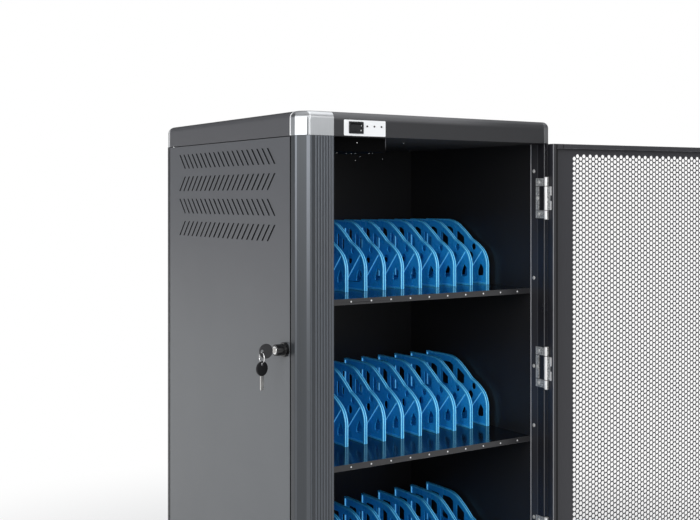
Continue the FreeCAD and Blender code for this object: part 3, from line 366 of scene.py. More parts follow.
def copied(piece, *moves):
    """Copies of a piece with meshes of their own, each moved by (x, y, z) in mm."""
    copies = []
    for move in moves:
        copy = piece.copy()
        copy.data = piece.data.copy()
        copy.data.transform(Matrix.Translation(Vector(move) / 1000))
        bpy.context.scene.collection.objects.link(copy)
        copies.append(copy)
    return copies


def joined(name, pieces):
    only(*pieces)
    bpy.ops.object.join()
    piece = bpy.context.object
    piece.name = name
    bpy.ops.object.transform_apply(location=True, rotation=True, scale=True)
    return piece


def repeated(name, piece, moves):
    """One mesh of a piece's copies, each moved by (x, y, z) in mm, in place of the piece."""
    copies = copied(piece, *moves)
    bpy.data.objects.remove(piece)
    return joined(name, copies)


def belongs(piece, body, slot, *replaced):
    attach(piece, body)
    if replaced:
        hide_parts(*replaced)
    return piece


def cut_by(piece, tool):
    only(piece)
    cut = piece.modifiers.new("cut", "BOOLEAN")
    cut.operation = "DIFFERENCE"
    cut.solver = "EXACT"
    cut.object = tool
    bpy.ops.object.modifier_apply(modifier="cut")
    bpy.data.objects.remove(tool)


stain_brown = (0.4, 0.38, 0.34, 1)


def zinc_plate(name, colour=(0.62, 0.63, 0.65), roughness=0.34, stretch=(1, 1, 0.06), grain=900.0,
               metal=1.0):
    plate = Paint(bpy.data.materials.new(name))
    brushed = plate.noise(grain, 3.0, stretch)
    cloudy = plate.noise(55.0, 4.0)
    spot = plate.ramp(plate.noise(160.0, 5.0), 0.62, 0.72)
    body = plate.mix(0.5 * brushed + 0.5 * cloudy, (*[c * 0.82 for c in colour], 1), (*colour, 1))
    body = plate.mix(0.35 * spot, body, stain_brown)
    rough = roughness - 0.08 + 0.16 * cloudy + 0.15 * spot
    return plate.finish(body, rough, metal * (1.0 - 0.25 * spot),
                        ((brushed, 0.12, 0.0002), (cloudy, 0.1, 0.0004)))


caster_zinc = zinc_plate("caster_zinc", roughness=0.36)
screw_zinc = zinc_plate("screw_zinc", (0.78, 0.78, 0.77), 0.24, (1, 1, 1), 500.0)
tyre = Paint(bpy.data.materials.new("tyre_rubber"))
scuffed = tyre.ramp(tyre.noise(70.0, 5.0), 0.42, 0.68)
tread = tyre.mix(scuffed, (0.012, 0.012, 0.013, 1), (0.05, 0.048, 0.045, 1))
tyre_rubber = tyre.finish(tread, 0.62 + 0.2 * scuffed, bumps=((tyre.noise(240.0, 4.0), 0.3, 0.0006),))
nylon = Paint(bpy.data.materials.new("hub_nylon"))
hub_grey = nylon.mix(nylon.noise(60.0, 4.0), (0.16, 0.165, 0.175, 1), (0.24, 0.245, 0.25, 1))
hub_nylon = nylon.finish(hub_grey, 0.42 + 0.15 * nylon.noise(35.0, 3.0),
                         bumps=((nylon.noise(300.0), 0.1, 0.0004),))
moulded = Paint(bpy.data.materials.new("pedal_plastic"))
grip_pitch = 4.0
grip = moulded.ramp((moulded.along(1) * 1000.0) % grip_pitch, 0.6, 1.4)
tread_top = moulded.ramp(moulded.facing(2), 0.6, 0.9)
pedal_black = moulded.mix(moulded.noise(90.0, 4.0), (0.022, 0.022, 0.024, 1), (0.05, 0.05, 0.05, 1))
pedal_plastic = moulded.finish(pedal_black, 0.45 + 0.15 * moulded.noise(40.0),
                               bumps=((grip * tread_top, 0.6, 0.0008), (moulded.noise(700.0), 0.12, 0.0003)))

caster_reach = 245.0
caster_trail = 28.0
wheel_height = 45.0
tyre_seat = 31.9
wheel_profile = [(4.3, -15), (11, -15), (11.6, -12.4), (14, -9), (30.5, -9), (32.6, -12.6), (40.5, -13),
                 (43.7, -11.2), (45, -8), (45, 8), (43.7, 11.2), (40.5, 13), (32.6, 12.6), (30.5, 9), (14, 9),
                 (11.6, 12.4), (11, 15), (4.3, 15), (4.3, -15)]
spoke_count = 6
spoke_starts = (-12.4, 8.6)
spoke_depth = 3.8
axle_half = 18.4
nut_profile = [(tip, 0), (6.4, 0), (6.4, 2.6), (5.6, 3.2), (3.6, 3.2), (3.6, 3.6), (2.8, 4.0), (tip, 4.0)]
head_profile = [(tip, 0), (6.3, 0), (6.3, 2.0), (4.4, 3.6), (tip, 4.0)]
shank_profile = [(tip, -axle_half), (4.0, -axle_half), (4.0, axle_half), (tip, axle_half)]
# Each caster's side, its end, and the angle that its fork is turned by.
casters = {"front_left": (-1, -1, 0), "front_right": (1, -1, 0),
           "rear_left": (-1, 1, 90), "rear_right": (1, 1, -90)}
for corner, (side, end, turn) in casters.items():
    kingpin = Vector((side * caster_reach, end * caster_reach, wheel_height)) / 1000
    stand = (Matrix.Translation(kingpin) @ Matrix.Rotation(math.radians(turn), 4, "Z")
             @ Matrix.Translation((0, caster_trail / 1000, 0)))
    hub = turned("hub", wheel_profile, 56, (1, 0, 0))
    hub.data.materials.append(hub_nylon)
    hub.data.materials.append(tyre_rubber)
    for face in hub.data.polygons:
        face.material_index = 1 if math.hypot(face.center.y, face.center.z) > tyre_seat / 1000 else 0
    spokes = []
    for index in range(spoke_count):
        for start in spoke_starts:
            spoke = block("spoke", (start, -1.6, 13), (start + spoke_depth, 1.6, 31), 0.6)
            spoke.data.transform(Matrix.Rotation(math.tau * index / spoke_count, 4, "X"))
            spoke.data.materials.append(hub_nylon)
            spokes.append(spoke)
    wheel = joined("wheel_" + corner, [hub] + spokes)
    wheel.data.transform(stand)
    smoothed(wheel, 35.0)
    belongs(wheel, "wheel_" + corner, "wheel_rubber", "caster_wheel_" + corner)
    nut = turned("nut", nut_profile, 6, (1, 0, 0), (axle_half, 0, 0))
    head = turned("head", head_profile, 28, (-1, 0, 0), (-axle_half, 0, 0))
    shank = turned("shank", shank_profile, 24, (1, 0, 0))
    axle = joined("axle_" + corner, [nut, head, shank])
    axle.data.transform(stand)
    axle.data.materials.append(screw_zinc)
    smoothed(axle, 35.0)
    belongs(axle, "swivel_" + corner, "screw_steel", "caster_axle_" + corner)
    edged("caster_fork_" + corner, 0.6, caster_zinc)
    if end < 0:
        edged("brake_pedal_" + corner, 0.7, pedal_plastic)
edged("caster_plates", 0.6, caster_zinc)
plate_under = 117
bolt_profile = [(tip, 0), (5.8, 0), (5.8, -3.4), (5.0, -4.0), (tip, -4.0)]
plate_bolt = turned("bolt", bolt_profile, 6, place=(0, 0, plate_under))
bolts = repeated("caster_bolts", plate_bolt, [(side * caster_reach + dx, end * caster_reach + dy, 0)
                                              for side, end, turn in casters.values()
                                              for dx in (-37, 37) for dy in (-29, 29)])
bolts.data.materials.append(screw_zinc)
smoothed(bolts, 35.0)
belongs(bolts, "cabinet", "screw_steel")


# Posts. The left front post is a ridged aluminium extrusion in dark satin anodising. The right front
# post and the square rear tubes are folded steel in the black powder coat.
extruded = Paint(bpy.data.materials.new("post_anodised"))
streak = extruded.noise(420.0, 4.0, (1, 1, 0.004))
broad = extruded.noise(60.0, 2.0, (1, 1, 0.01))
cloud = extruded.noise(7.0, 3.0)
# Painted light on the post: highlights on the ridge crests and along the side and chamfer edges, fading lower
# down, and painted shade on the front.
crest_highlight = extruded.ramp(extruded.along(1), -0.3190, -0.3199)
side_highlight = extruded.band(extruded.along(0), -0.3196, -0.3172)
edge_highlights = side_highlight + extruded.band(extruded.along(0), -0.3046, -0.3002)
in_front = extruded.ramp(extruded.along(1), -0.3, -0.315)
shaded_front = extruded.ramp(extruded.along(0), -0.2996, -0.2975) * in_front
highlight_fade = extruded.ramp(extruded.along(2), 0.66, 1.12, 0.2, 0.75)
shade = extruded.mix(streak * 0.5 + broad * 0.5, (0.038, 0.042, 0.047, 1), (0.068, 0.074, 0.081, 1))
shade = extruded.mix(shaded_front * 0.3, shade, (0.03, 0.034, 0.04, 1))
shade = extruded.mix(crest_highlight * shaded_front * 0.5, shade, (0.135, 0.15, 0.172, 1))
shade = extruded.mix(edge_highlights * highlight_fade, shade, (0.185, 0.2, 0.225, 1))
post_anodised = extruded.finish(shade, 0.3 + 0.1 * cloud + 0.06 * streak, 0.5,
                                ((streak, 0.18, 0.0003), (cloud, 0.1, 0.003)))
edged("left_front_post", 0.45, post_anodised)
folded = Paint(bpy.data.materials.new("post_black"))
# Painted light on the right post: highlight lines at its back edge and at its two steps, and a lighter band
# on its flat face.
back_highlight = folded.band(folded.along(1), -0.2672, -0.2638)
rear_step_highlight = folded.band(folded.along(1), -0.2902, -0.2875) * 0.45
front_step_highlight = folded.band(folded.along(1), -0.3124, -0.3098) * 0.3
lit_flat_face = folded.band(folded.along(1), -0.2890, -0.2660)
matt = folded.noise(14.0, 4.0)
black = folded.mix(matt, (0.012, 0.012, 0.0145, 1), (0.016, 0.016, 0.019, 1))
black = folded.mix(lit_flat_face, black, (0.03, 0.03, 0.034, 1))
black = folded.mix(back_highlight, black, (0.4, 0.4, 0.42, 1))
black = folded.mix(rear_step_highlight + front_step_highlight, black, (0.2, 0.2, 0.21, 1))
post_coat = folded.finish(black, 0.24 + 0.1 * matt, bumps=((folded.noise(650.0, 1.0), 0.12, 0.0003),))
edged("right_front_post", 0.7, post_coat)
edged("rear_posts", 0.9, frame_coat, frame_edge)


# Back panel and right side panel. Shallow folded trays in smooth dark grey powder coat, with four rows
# of slanted vent slots. The back panel is held to the rear tubes by zinc-plated screws.
# The panels are painted lighter towards the bottom, as light.
panel_coat = powder_coat("panel_grey", (0.082, 0.0855, 0.094), 0.3, peel=0.08, tone=0.035, dust=0.05,
                         lower_highlight=0.22)
# Painted shade: a near-black coat for the slot walls and the side panel's front flange.
slot_shade = powder_coat("slot_shade", (0.003, 0.003, 0.0035), 0.6, mirror=0.1)
vent_margin = 0.025
vent_foot = 0.5
side_panel_depth = 0.1


def vented(node):
    """A vented panel. The walls of its slots and its front flange are painted near black, as shade."""
    panel = edged(node, 0.48, panel_coat)
    panel.data.materials.append(slot_shade)
    low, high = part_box(node)
    at_side = high[0] - low[0] < side_panel_depth
    for face in panel.data.polygons:
        inside = [low[axis] + vent_margin < face.center[axis] < high[axis] - vent_margin for axis in range(3)]
        flat = max(abs(value) for value in face.normal) > 0.96 and abs(face.normal.z) < 0.1
        slot_wall = inside[2] and inside[0] + inside[1] == 1 and not flat and face.center.z > vent_foot
        front_flange = at_side and face.center.y < low[1] + 0.0004 and face.normal.y < -0.8
        if slot_wall or front_flange:
            face.material_index = 1
    return panel


vented("right_side_panel")
vented("back_panel")


def screw_head(name, radius, proud, axis, place):
    """A round screw head with a cross recess. Its seat is at the place."""
    floor_height = proud * 0.35
    head = turned(name, [(tip, 0), (radius, 0), (radius, floor_height), (radius * 0.86, proud * 0.75),
                         (radius * 0.5, proud), (tip, proud)], 28)
    arm, half = radius * 0.62, radius * 0.12
    for x, y in ((arm, half), (half, arm)):
        cut_by(head, block("cross", (-x, -y, floor_height), (x, y, proud * 2)))
    seated(head, axis, place)
    head.data.materials.clear()
    head.data.materials.append(screw_zinc)
    return head


back_screw = screw_head("back_screw", 3.6, 1.8, (0, 1, 0), (0, 320, 0))
back_screws = repeated("back_screws", back_screw, [(x, 0, z) for x in (-305, 305)
                                                   for z in (200, 440, 680, 900, 1120)])
smoothed(back_screws, 35.0)
belongs(back_screws, "cabinet", "screw_steel")


# Mains inlet. A black moulded appliance inlet in the back panel, with three nickel-plated pins in its
# mouth and a sunk screw at each end of its flange.
black_plastic = Paint(bpy.data.materials.new("black_plastic"))
worn = black_plastic.noise(60.0, 4.0)
inlet_black = black_plastic.mix(worn, (0.012, 0.012, 0.013, 1), (0.03, 0.03, 0.032, 1))
inlet_plastic = black_plastic.finish(inlet_black, 0.38 + 0.18 * worn,
                                     bumps=((black_plastic.noise(900.0), 0.15, 0.0002),))
inlet = edged("mains_inlet", 0.6, inlet_plastic)
inlet_x = 220
inlet_z = 230
recess_floor = 321.0
screw_offsets = (-20, 20)
for dx in screw_offsets:
    cut_by(inlet, turned("recess", [(tip, 0), (3.1, 0), (3.1, 2), (tip, 2)], 28, (0, 1, 0),
                         (inlet_x + dx, recess_floor, inlet_z)))
pins = joined("inlet_pins", [block("pin", (inlet_x + dx - 1, 305.5, inlet_z + dz - 2),
                                   (inlet_x + dx + 1, 320, inlet_z + dz + 2), 0.4)
                             for dx, dz in ((-7, -2), (7, -2), (0, 3))])
pins.data.materials.append(zinc_plate("pin_nickel", (0.75, 0.73, 0.68), 0.2))
belongs(pins, "cabinet", "screw_steel")
inlet_screw = screw_head("inlet_screw", 2.6, 1.2, (0, 1, 0), (inlet_x, recess_floor, inlet_z))
inlet_screws = repeated("inlet_screws", inlet_screw, [(dx, 0, 0) for dx in screw_offsets])
smoothed(inlet_screws, 35.0)
belongs(inlet_screws, "cabinet", "screw_steel")


# Inner walls and ceiling. Flat steel sheets round the device compartment, in gloss black powder coat
# and riveted at their edges. The control box is a folded tray of the same sheet under the ceiling.
inner_coat = powder_coat("interior_black", (0.0115, 0.0115, 0.0125), 0.36, peel=0.1, tone=0.12, mirror=0.3)
for node in ("inner_left_wall", "inner_right_wall", "inner_back_wall"):
    edged(node, 0.3, inner_coat)
# The ceiling is painted a lighter, matt black than the walls, as the light on it.
ceiling_coat = powder_coat("ceiling_black", (0.035, 0.035, 0.036), 0.6, peel=0.1, tone=0.12, mirror=0.05)
edged("ceiling_panel", 0.3, ceiling_coat)
boxed = Paint(bpy.data.materials.new("control_box_black"))
# The box is painted darker than the walls' black and almost without gloss, as shade, with a painted highlight
# line at its right edge.
rim_highlight = boxed.band(boxed.along(0), -0.1102, -0.107) * boxed.ramp(boxed.along(2), 1.128, 1.146)
soot = boxed.noise(30.0, 4.0)
shaded_black = boxed.mix(soot, (0.0016, 0.0016, 0.0018, 1), (0.0028, 0.0028, 0.003, 1))
shaded_black = boxed.mix(rim_highlight, shaded_black, (0.13, 0.13, 0.14, 1))
box_black = boxed.finish(shaded_black, 0.5 + 0.1 * soot, bumps=((boxed.noise(600.0), 0.1, 0.0003),),
                         fixed={"Specular IOR Level": 0.02})
edged("control_box", 0.3, box_black)
rivet_profile = [(tip, 0), (1.8, 0), (1.7, 0.5), (1.0, 0.9), (tip, 1.0)]
box_under = 1125
ceiling_under = 1153
back_wall_front = 200
down = [(-184.8, -224.8, box_under), (-149.1, -203.7, box_under), (-144.5, -215.9, box_under),
        (-143.2, -228.9, box_under), (-112.0, -232.5, box_under), (28.3, -154.4, ceiling_under),
        (269.5, 164.5, ceiling_under)]
forward = [(-176.8, -289.2, 1142.9), (141.6, back_wall_front, 1137.7), (178.9, back_wall_front, 1146),
           (128.4, back_wall_front, 1127.7), (209.4, back_wall_front, 1132.5)]
wall_rivets = joined("wall_rivets", [turned("rivet", rivet_profile, 14, (0, 0, -1), place) for place in down]
                     + [turned("rivet", rivet_profile, 14, (0, -1, 0), place) for place in forward])
wall_rivets.data.materials.append(screw_zinc)
smoothed(wall_rivets, 50.0)
belongs(wall_rivets, "cabinet", "screw_steel")


# Power strips. White moulded blocks behind the back wall, one for each shelf, with ten sunk outlets
# each. Every outlet has two blade slots and a round earth hole.
white_plastic = Paint(bpy.data.materials.new("strip_white"))
aged = white_plastic.noise(18.0, 4.0)
ivory = white_plastic.mix(aged, (0.70, 0.70, 0.67, 1), (0.80, 0.80, 0.78, 1))
strip_white = white_plastic.finish(ivory, 0.36 + 0.12 * aged,
                                   bumps=((white_plastic.noise(500.0), 0.1, 0.0003),))
edged("power_strips", 0.8, strip_white)
outlet_count = 10
outlet_pitch = 48.0
strip_middle = 44
strip_front = 230.5
outlet_heights = (380.5, 710.5, 1040.5)
slot_sink = 0.4
blades = [block("slot", (x - 1, 0, -1), (x + 1, slot_sink, 6), 0.1) for x in (-4.5, 4.5)]
earth = turned("earth", [(tip, 0), (2.2, 0), (2.2, slot_sink), (tip, slot_sink)], 16, (0, 1, 0), (0, 0, -6))
outlet = joined("outlet_slots", blades + [earth])
first_outlet = strip_middle - outlet_pitch * (outlet_count - 1) / 2
outlets = repeated("outlet_slots", outlet, [(first_outlet + outlet_pitch * i, strip_front, z)
                                            for z in outlet_heights for i in range(outlet_count)])
outlets.data.materials.append(inlet_plastic)
belongs(outlets, "cabinet", "inlet_black")


# Shelves. Steel trays turned upside down in high-gloss black, with a folded lip at the front, whose
# front faces are painted lighter grey, as light. White push rivets in the lip mark the bays.
shelf_gloss = Paint(bpy.data.materials.new("shelf_gloss"))
smear = shelf_gloss.noise(10.0, 4.0, (1, 2.5, 1))
# Painted light: faces turned to the front are painted lighter grey and rougher.
lip = shelf_gloss.ramp(shelf_gloss.facing(1), -0.9, -0.6, 1.0, 0.0)
deck = shelf_gloss.mix(shelf_gloss.noise(30.0, 3.0), (0.006, 0.006, 0.0072, 1), (0.009, 0.009, 0.011, 1))
deck = shelf_gloss.mix(lip, deck, (0.026, 0.026, 0.0285, 1))
shelf_coat = shelf_gloss.finish(deck, 0.09 + 0.1 * smear + 0.2 * lip,
                                bumps=((shelf_gloss.noise(8.0, 1.0), 0.12, 0.002),
                                       (shelf_gloss.noise(600.0), 0.05, 0.0002)))
shelf_edge = worn_edge_highlight("shelf_edge", (0.075, 0.076, 0.08))
for level in ("lower", "middle", "upper"):
    edged(level + "_shelf", 0.5, shelf_coat, shelf_edge)

rivet_plastic = Paint(bpy.data.materials.new("rivet_white"))
chalky = rivet_plastic.mix(rivet_plastic.noise(200.0), (0.66, 0.67, 0.68, 1), (0.86, 0.86, 0.85, 1))
rivet_white = rivet_plastic.finish(chalky, 0.35 + 0.1 * rivet_plastic.noise(90.0))
rivet_count = 11
rivet_pitch = 48.2
first_rivet = (-222.6, -264, 0)
lip_heights = (170.25, 496.5, 826.5)
rivet = turned("rivet", [(tip, 0), (1.8, 0), (1.8, 0.3), (1.3, 0.7), (tip, 0.8)], 14, (0, -1, 0), first_rivet)
rivets = repeated("lip_rivets_made", rivet, [(rivet_pitch * i, 0, z) for z in lip_heights
                                             for i in range(rivet_count)])
rivets.data.materials.append(rivet_white)
smoothed(rivets, 50.0)
belongs(rivets, "cabinet", "rivet_white", "lip_rivets")


# Dividers. Eleven upright blue plastic moulds on each shelf: a thin web with windows and a thicker,
# paler rim all round, clipped into the shelf from below. The moulds glow faintly with painted light,
# and the rims' front faces are painted paler still, as highlight.
divider = Paint(bpy.data.materials.new("divider_blue"))
divider_pitch = 0.0482
first_divider = -0.1985
across = abs((divider.along(0) - first_divider + divider_pitch / 2) % divider_pitch - divider_pitch / 2)
rim = divider.ramp(across, 0.0013, 0.0019)
front = divider.ramp(divider.facing(1), -0.2, -0.75)
swirl = divider.noise(26.0, 4.0)
web = divider.mix(swirl, (0.014, 0.33, 0.82, 1), (0.024, 0.40, 0.92, 1))
edge = divider.mix(swirl, (0.05, 0.50, 0.94, 1), (0.08, 0.56, 1.0, 1))
blue = divider.mix(rim, web, edge)
# Painted light: the rims' front faces are painted paler, and the mould glows a little, most on those faces.
blue = divider.mix(rim * front * 0.9, blue, (0.30, 0.78, 1.0, 1))
painted_glow = divider.mix(rim * front, (0.0003, 0.008, 0.024, 1), (0.1, 0.5, 0.95, 1))
divider_blue = divider.finish(blue, 0.22 + 0.12 * divider.noise(40.0, 3.0),
                              bumps=((swirl, 0.1, 0.001), (divider.noise(350.0), 0.05, 0.0003)),
                              fixed={"Emission Color": painted_glow, "Emission Strength": 0.55})
for level in ("lower", "middle", "upper"):
    edged(level + "_dividers", 0.6, divider_blue)


# Top cap. One deep pressed steel lid in charcoal powder coat, with silver aluminium corner pieces let
# into its front corners, flush with it.
charcoal = Paint(bpy.data.materials.new("cap_charcoal"))
speckled = charcoal.noise(420.0, 2.0)
broad = charcoal.noise(6.0, 3.0)
# Painted light on the cap: its left faces lighter, a highlight along the upper front edge, and a bright line
# at the rear left corner.
lit_left_side = charcoal.ramp(charcoal.facing(0), -0.5, -0.9)
upper_edge_highlight = charcoal.ramp(charcoal.along(2), 1.182, 1.192) * charcoal.ramp(charcoal.facing(1), -0.1, -0.3)
upper_edge_highlight = upper_edge_highlight * charcoal.ramp(charcoal.along(0), 0.22, 0.0, 0.25, 1.0)
rear_edge_highlight = charcoal.band(charcoal.along(1), 0.3065, 0.3135) * charcoal.ramp(charcoal.along(2), 1.196, 1.19)
pressed = charcoal.mix(speckled * 0.5 + broad * 0.5, (0.0165, 0.017, 0.0195, 1), (0.0195, 0.02, 0.0225, 1))
pressed = charcoal.mix(lit_left_side, pressed, (0.074, 0.0745, 0.081, 1))
pressed = charcoal.mix(upper_edge_highlight * 0.8, pressed, (0.15, 0.15, 0.156, 1))
pressed = charcoal.mix(rear_edge_highlight * lit_left_side, pressed, (0.62, 0.62, 0.63, 1))
cap_coat = charcoal.finish(pressed, 0.3 + 0.08 * broad,
                           bumps=((charcoal.noise(3.5, 1.0), 0.25, 0.004),
                                  (charcoal.noise(650.0, 1.0), 0.1, 0.0003)))
edged("top_cap", 0.35, cap_coat)
silver = Paint(bpy.data.materials.new("corner_silver"))
drawn = silver.noise(900.0, 3.0, (1, 1, 0.03))
cloud = silver.noise(14.0, 3.0)
# Painted light on the silver corners: shade in the groove, shade and highlight on the upper bend, and the
# right corner piece darker, as shade.
groove_shade = silver.band(silver.along(0), -0.3046, -0.3031) * silver.ramp(silver.along(2), 1.189, 1.186)
upper_bend = silver.ramp(silver.along(2), 1.186, 1.189)
bend_shade = upper_bend * silver.ramp(silver.along(0), -0.2995, -0.3015) * 0.7
bend_light = upper_bend * silver.ramp(silver.along(0), -0.3015, -0.2995) * 0.6
lit_edge = silver.ramp(silver.along(1), -0.2796, -0.2792) * silver.ramp(silver.along(0), 0.1, 0.0)
aluminium = silver.mix(drawn * 0.6 + cloud * 0.4, (0.42, 0.435, 0.45, 1), (0.56, 0.57, 0.58, 1))
aluminium = silver.mix(groove_shade, aluminium, (0.13, 0.135, 0.14, 1))
aluminium = silver.mix(bend_shade, aluminium, (0.2, 0.2, 0.205, 1))
aluminium = silver.mix(bend_light, aluminium, (0.85, 0.86, 0.87, 1))
shaded_right_cap = silver.ramp(silver.along(0), 0.1, 0.2)
aluminium = silver.mix(shaded_right_cap, aluminium, (0.19, 0.19, 0.195, 1))
aluminium = silver.mix(lit_edge, aluminium, (0.97, 0.97, 0.97, 1))
corner_silver = silver.finish(aluminium, 0.27 + 0.1 * cloud + 0.2 * groove_shade, 0.9 - 0.9 * lit_edge,
                              ((drawn, 0.12, 0.0002), (silver.noise(6.0, 1.0), 0.15, 0.003)))
edged("left_corner_cap", 0.5, corner_silver)
edged("right_corner_cap", 0.5, corner_silver)
bead_profile = [(tip, 1153.3), (1.9, 1153.3), (2.1, 1153.6), (2.1, 1183), (1.7, 1186), (0.9, 1188),
                (tip, 1188.6)]
bead = turned("corner_bead", bead_profile, 24, place=(-301.2, -317.7, 0))
bead.data.materials.append(corner_silver)
smoothed(bead, 50.0)
belongs(bead, "cabinet", "corner_silver")


# Control panel. A white gloss plate on the fascia with a black rocker switch and three small dark
# indicator lamps. The switch is marked I and O in white.
plate_white = Paint(bpy.data.materials.new("panel_white"))
sheen = plate_white.noise(12.0, 3.0)
gloss_white = plate_white.mix(sheen, (0.88, 0.89, 0.9, 1), (0.94, 0.945, 0.95, 1))
panel_white = plate_white.finish(gloss_white, 0.2 + 0.08 * sheen,
                                 bumps=((plate_white.noise(900.0), 0.04, 0.0002),))
edged("control_panel", 0.4, panel_white)
switch = Paint(bpy.data.materials.new("switch_black"))
touched = switch.noise(120.0, 4.0)
jet = switch.mix(touched, (0.008, 0.008, 0.009, 1), (0.019, 0.019, 0.021, 1))
switch_black = switch.finish(jet, 0.36 + 0.2 * touched, bumps=((switch.noise(1400.0), 0.12, 0.0002),),
                             fixed={"Specular IOR Level": 0.25})
edged("rocker_bezel", 0.35, switch_black)
edged("rocker_switch", 0.4, switch_black)
ink = Paint(bpy.data.materials.new("mark_ink"))
mark_ink = ink.finish(ink.mix(ink.noise(900.0), (0.62, 0.62, 0.62, 1), (0.85, 0.85, 0.85, 1)), 0.5)
mark_x = -187.9
paddle_tilt = 16
line_mark = block("line", (-0.4, -0.2, -1.5), (0.4, 0.2, 1.5), 0.05)
line_mark.data.transform(Matrix.Translation(Vector((mark_x, -323.62, 1174.0)) / 1000)
                         @ Matrix.Rotation(math.radians(paddle_tilt), 4, "X"))
bpy.ops.object.select_all(action="DESELECT")
bpy.ops.mesh.primitive_torus_add(major_segments=24, minor_segments=6, major_radius=0.0011,
                                 minor_radius=0.00035, location=(mark_x / 1000, -0.32229, 1.1646),
                                 rotation=(math.radians(90), 0, 0))
ring_mark = bpy.context.object
marks = joined("rocker_marks", [line_mark, ring_mark])
marks.data.materials.append(mark_ink)
belongs(marks, "power_rocker", "switch_black")

lens = Paint(bpy.data.materials.new("lamp_dark"))
smoked = lens.mix(lens.noise(500.0), (0.02, 0.016, 0.012, 1), (0.05, 0.042, 0.035, 1))
lamp_dark = lens.finish(smoked, 0.12 + 0.1 * lens.noise(300.0))
nodes["indicator_lamps"].data.materials.clear()
nodes["indicator_lamps"].data.materials.append(lamp_dark)
lamp_pitch = 16.7
first_lamp = (-173.2, -322.1, 1173.3)
lens_profile = [(tip, 0), (1.75, 0), (1.6, 0.35), (1.1, 0.65), (tip, 0.8)]
lens_dome = turned("lens", lens_profile, 20, (0, -1, 0), first_lamp)
lenses = repeated("lamp_lenses", lens_dome, [(lamp_pitch * i, 0, 0) for i in range(3)])
lenses.data.materials.append(lamp_dark)
smoothed(lenses, 60.0)
belongs(lenses, "cabinet", "lamp_dark")


# Hinges. Three bright zinc-plated butt hinges: a C-shaped leaf with two outer knuckles screwed to the
# post, and a middle knuckle whose notched leaf is welded to the door's edge.
hinge_heights = (288, 661, 1033)
knuckle_joint = 26.3
joint_half = 0.0008
hinge_zinc = zinc_plate("hinge_zinc", (0.86, 0.86, 0.85), 0.36, (1, 1, 0.05), 700.0, metal=0.45)
rolled = Paint(bpy.data.materials.new("hinge_leaf"))
mottled = rolled.ramp(rolled.noise(330.0, 5.0), 0.36, 0.62)
# Painted highlights on the hinge leaves: a lighter band along their outer edges and near-white knuckles.
lit_outer_edges = rolled.band(rolled.along(1), -0.2895, -0.285) + rolled.band(rolled.along(1), -0.3385, -0.3355)
knuckle_highlight = rolled.ramp(rolled.along(0), 0.2925, 0.2916)
leaf = rolled.mix(mottled, (0.19, 0.195, 0.195, 1), (0.52, 0.53, 0.53, 1))
leaf = rolled.mix(lit_outer_edges * 0.5, leaf, (0.62, 0.63, 0.63, 1))
leaf = rolled.mix(knuckle_highlight, leaf, (0.9, 0.9, 0.89, 1))
for height in hinge_heights:
    for joint in ((height - knuckle_joint) / 1000, (height + knuckle_joint) / 1000):
        joint_line = rolled.band(rolled.along(2), joint - joint_half, joint + joint_half)
        leaf = rolled.mix(joint_line, leaf, (0.12, 0.12, 0.125, 1))
leaf_zinc = rolled.finish(leaf, 0.36 + 0.12 * mottled, 0.35, ((mottled, 0.2, 0.0002),))
edged("hinge_pins", 0.35, hinge_zinc)
edged("hinge_frame_leaves", 0.35, leaf_zinc)
door_leaves = edged("hinge_door_leaves", 0.35, leaf_zinc)
notch_half = 6
for height in hinge_heights:
    cut_by(door_leaves, block("notch", (286, -342, height - notch_half), (300, -333.5, height + notch_half)))
screw_places = [(297.5, -276, z) for z in (198, 324, 528, 660, 856, 1093)]
for height in hinge_heights:
    screw_places += [(293.8, y, height + dz) for y, dz in ((-296, -35), (-291, 0), (-296, 35))]
post_screw = screw_head("post_screw", 4.2, 1.5, (-1, 0, 0), (0, 0, 0))
frame_screws = repeated("post_screws", post_screw, screw_places)
dull_zinc = zinc_plate("post_screw_zinc", (0.60, 0.60, 0.59), 0.42, (1, 1, 1), 500.0, metal=0.3)
frame_screws.data.materials.clear()
frame_screws.data.materials.append(dull_zinc)
smoothed(frame_screws, 35.0)
belongs(frame_screws, "cabinet", "screw_steel", "frame_screws")


# Front door. A folded steel frame in satin black, its flanges turned in, with a finely perforated
# steel sheet spot-welded behind its window.
door_edge = worn_edge_highlight("door_edge", (0.06, 0.061, 0.066))
frame_paint = Paint(bpy.data.materials.new("door_frame_black"))
# Painted light on the door frame: a highlight line on the fold at the hinge edge, shadow lines in the
# creases, and shade on the flange.
hinge_edge = frame_paint.ramp(frame_paint.along(0), 0.2946, 0.294)
fold_highlight = frame_paint.ramp(frame_paint.along(1), -0.3417, -0.3423) * hinge_edge
flange_shadow_line = frame_paint.band(frame_paint.along(0), 0.2999, 0.3046)
crease_shadow = flange_shadow_line + frame_paint.band(frame_paint.along(0), 0.3184, 0.3210)
shaded_flange = frame_paint.band(frame_paint.along(0), 0.2946, 0.2999) * 0.45
satin = frame_paint.noise(11.0, 4.0)
frame_shade = frame_paint.mix(satin, (0.022, 0.022, 0.027, 1), (0.026, 0.026, 0.0315, 1))
frame_shade = frame_paint.mix(crease_shadow + shaded_flange, frame_shade, (0.003, 0.003, 0.0036, 1))
frame_shade = frame_paint.mix(fold_highlight, frame_shade, (0.24, 0.24, 0.25, 1))
door_paint = frame_paint.finish(frame_shade, 0.32 + 0.1 * satin + 0.5 * crease_shadow,
                                bumps=((frame_paint.noise(650.0, 1.0), 0.1, 0.0003),))
door_frame = edged("door_frame", 0.6, door_paint, door_edge)
# Faces of the door frame nearer the hinge than this keep the coat, with no painted edge highlight.
plain_edge_to = 0.306
for face in door_frame.data.polygons:
    if face.center.x < plain_edge_to:
        face.material_index = 0

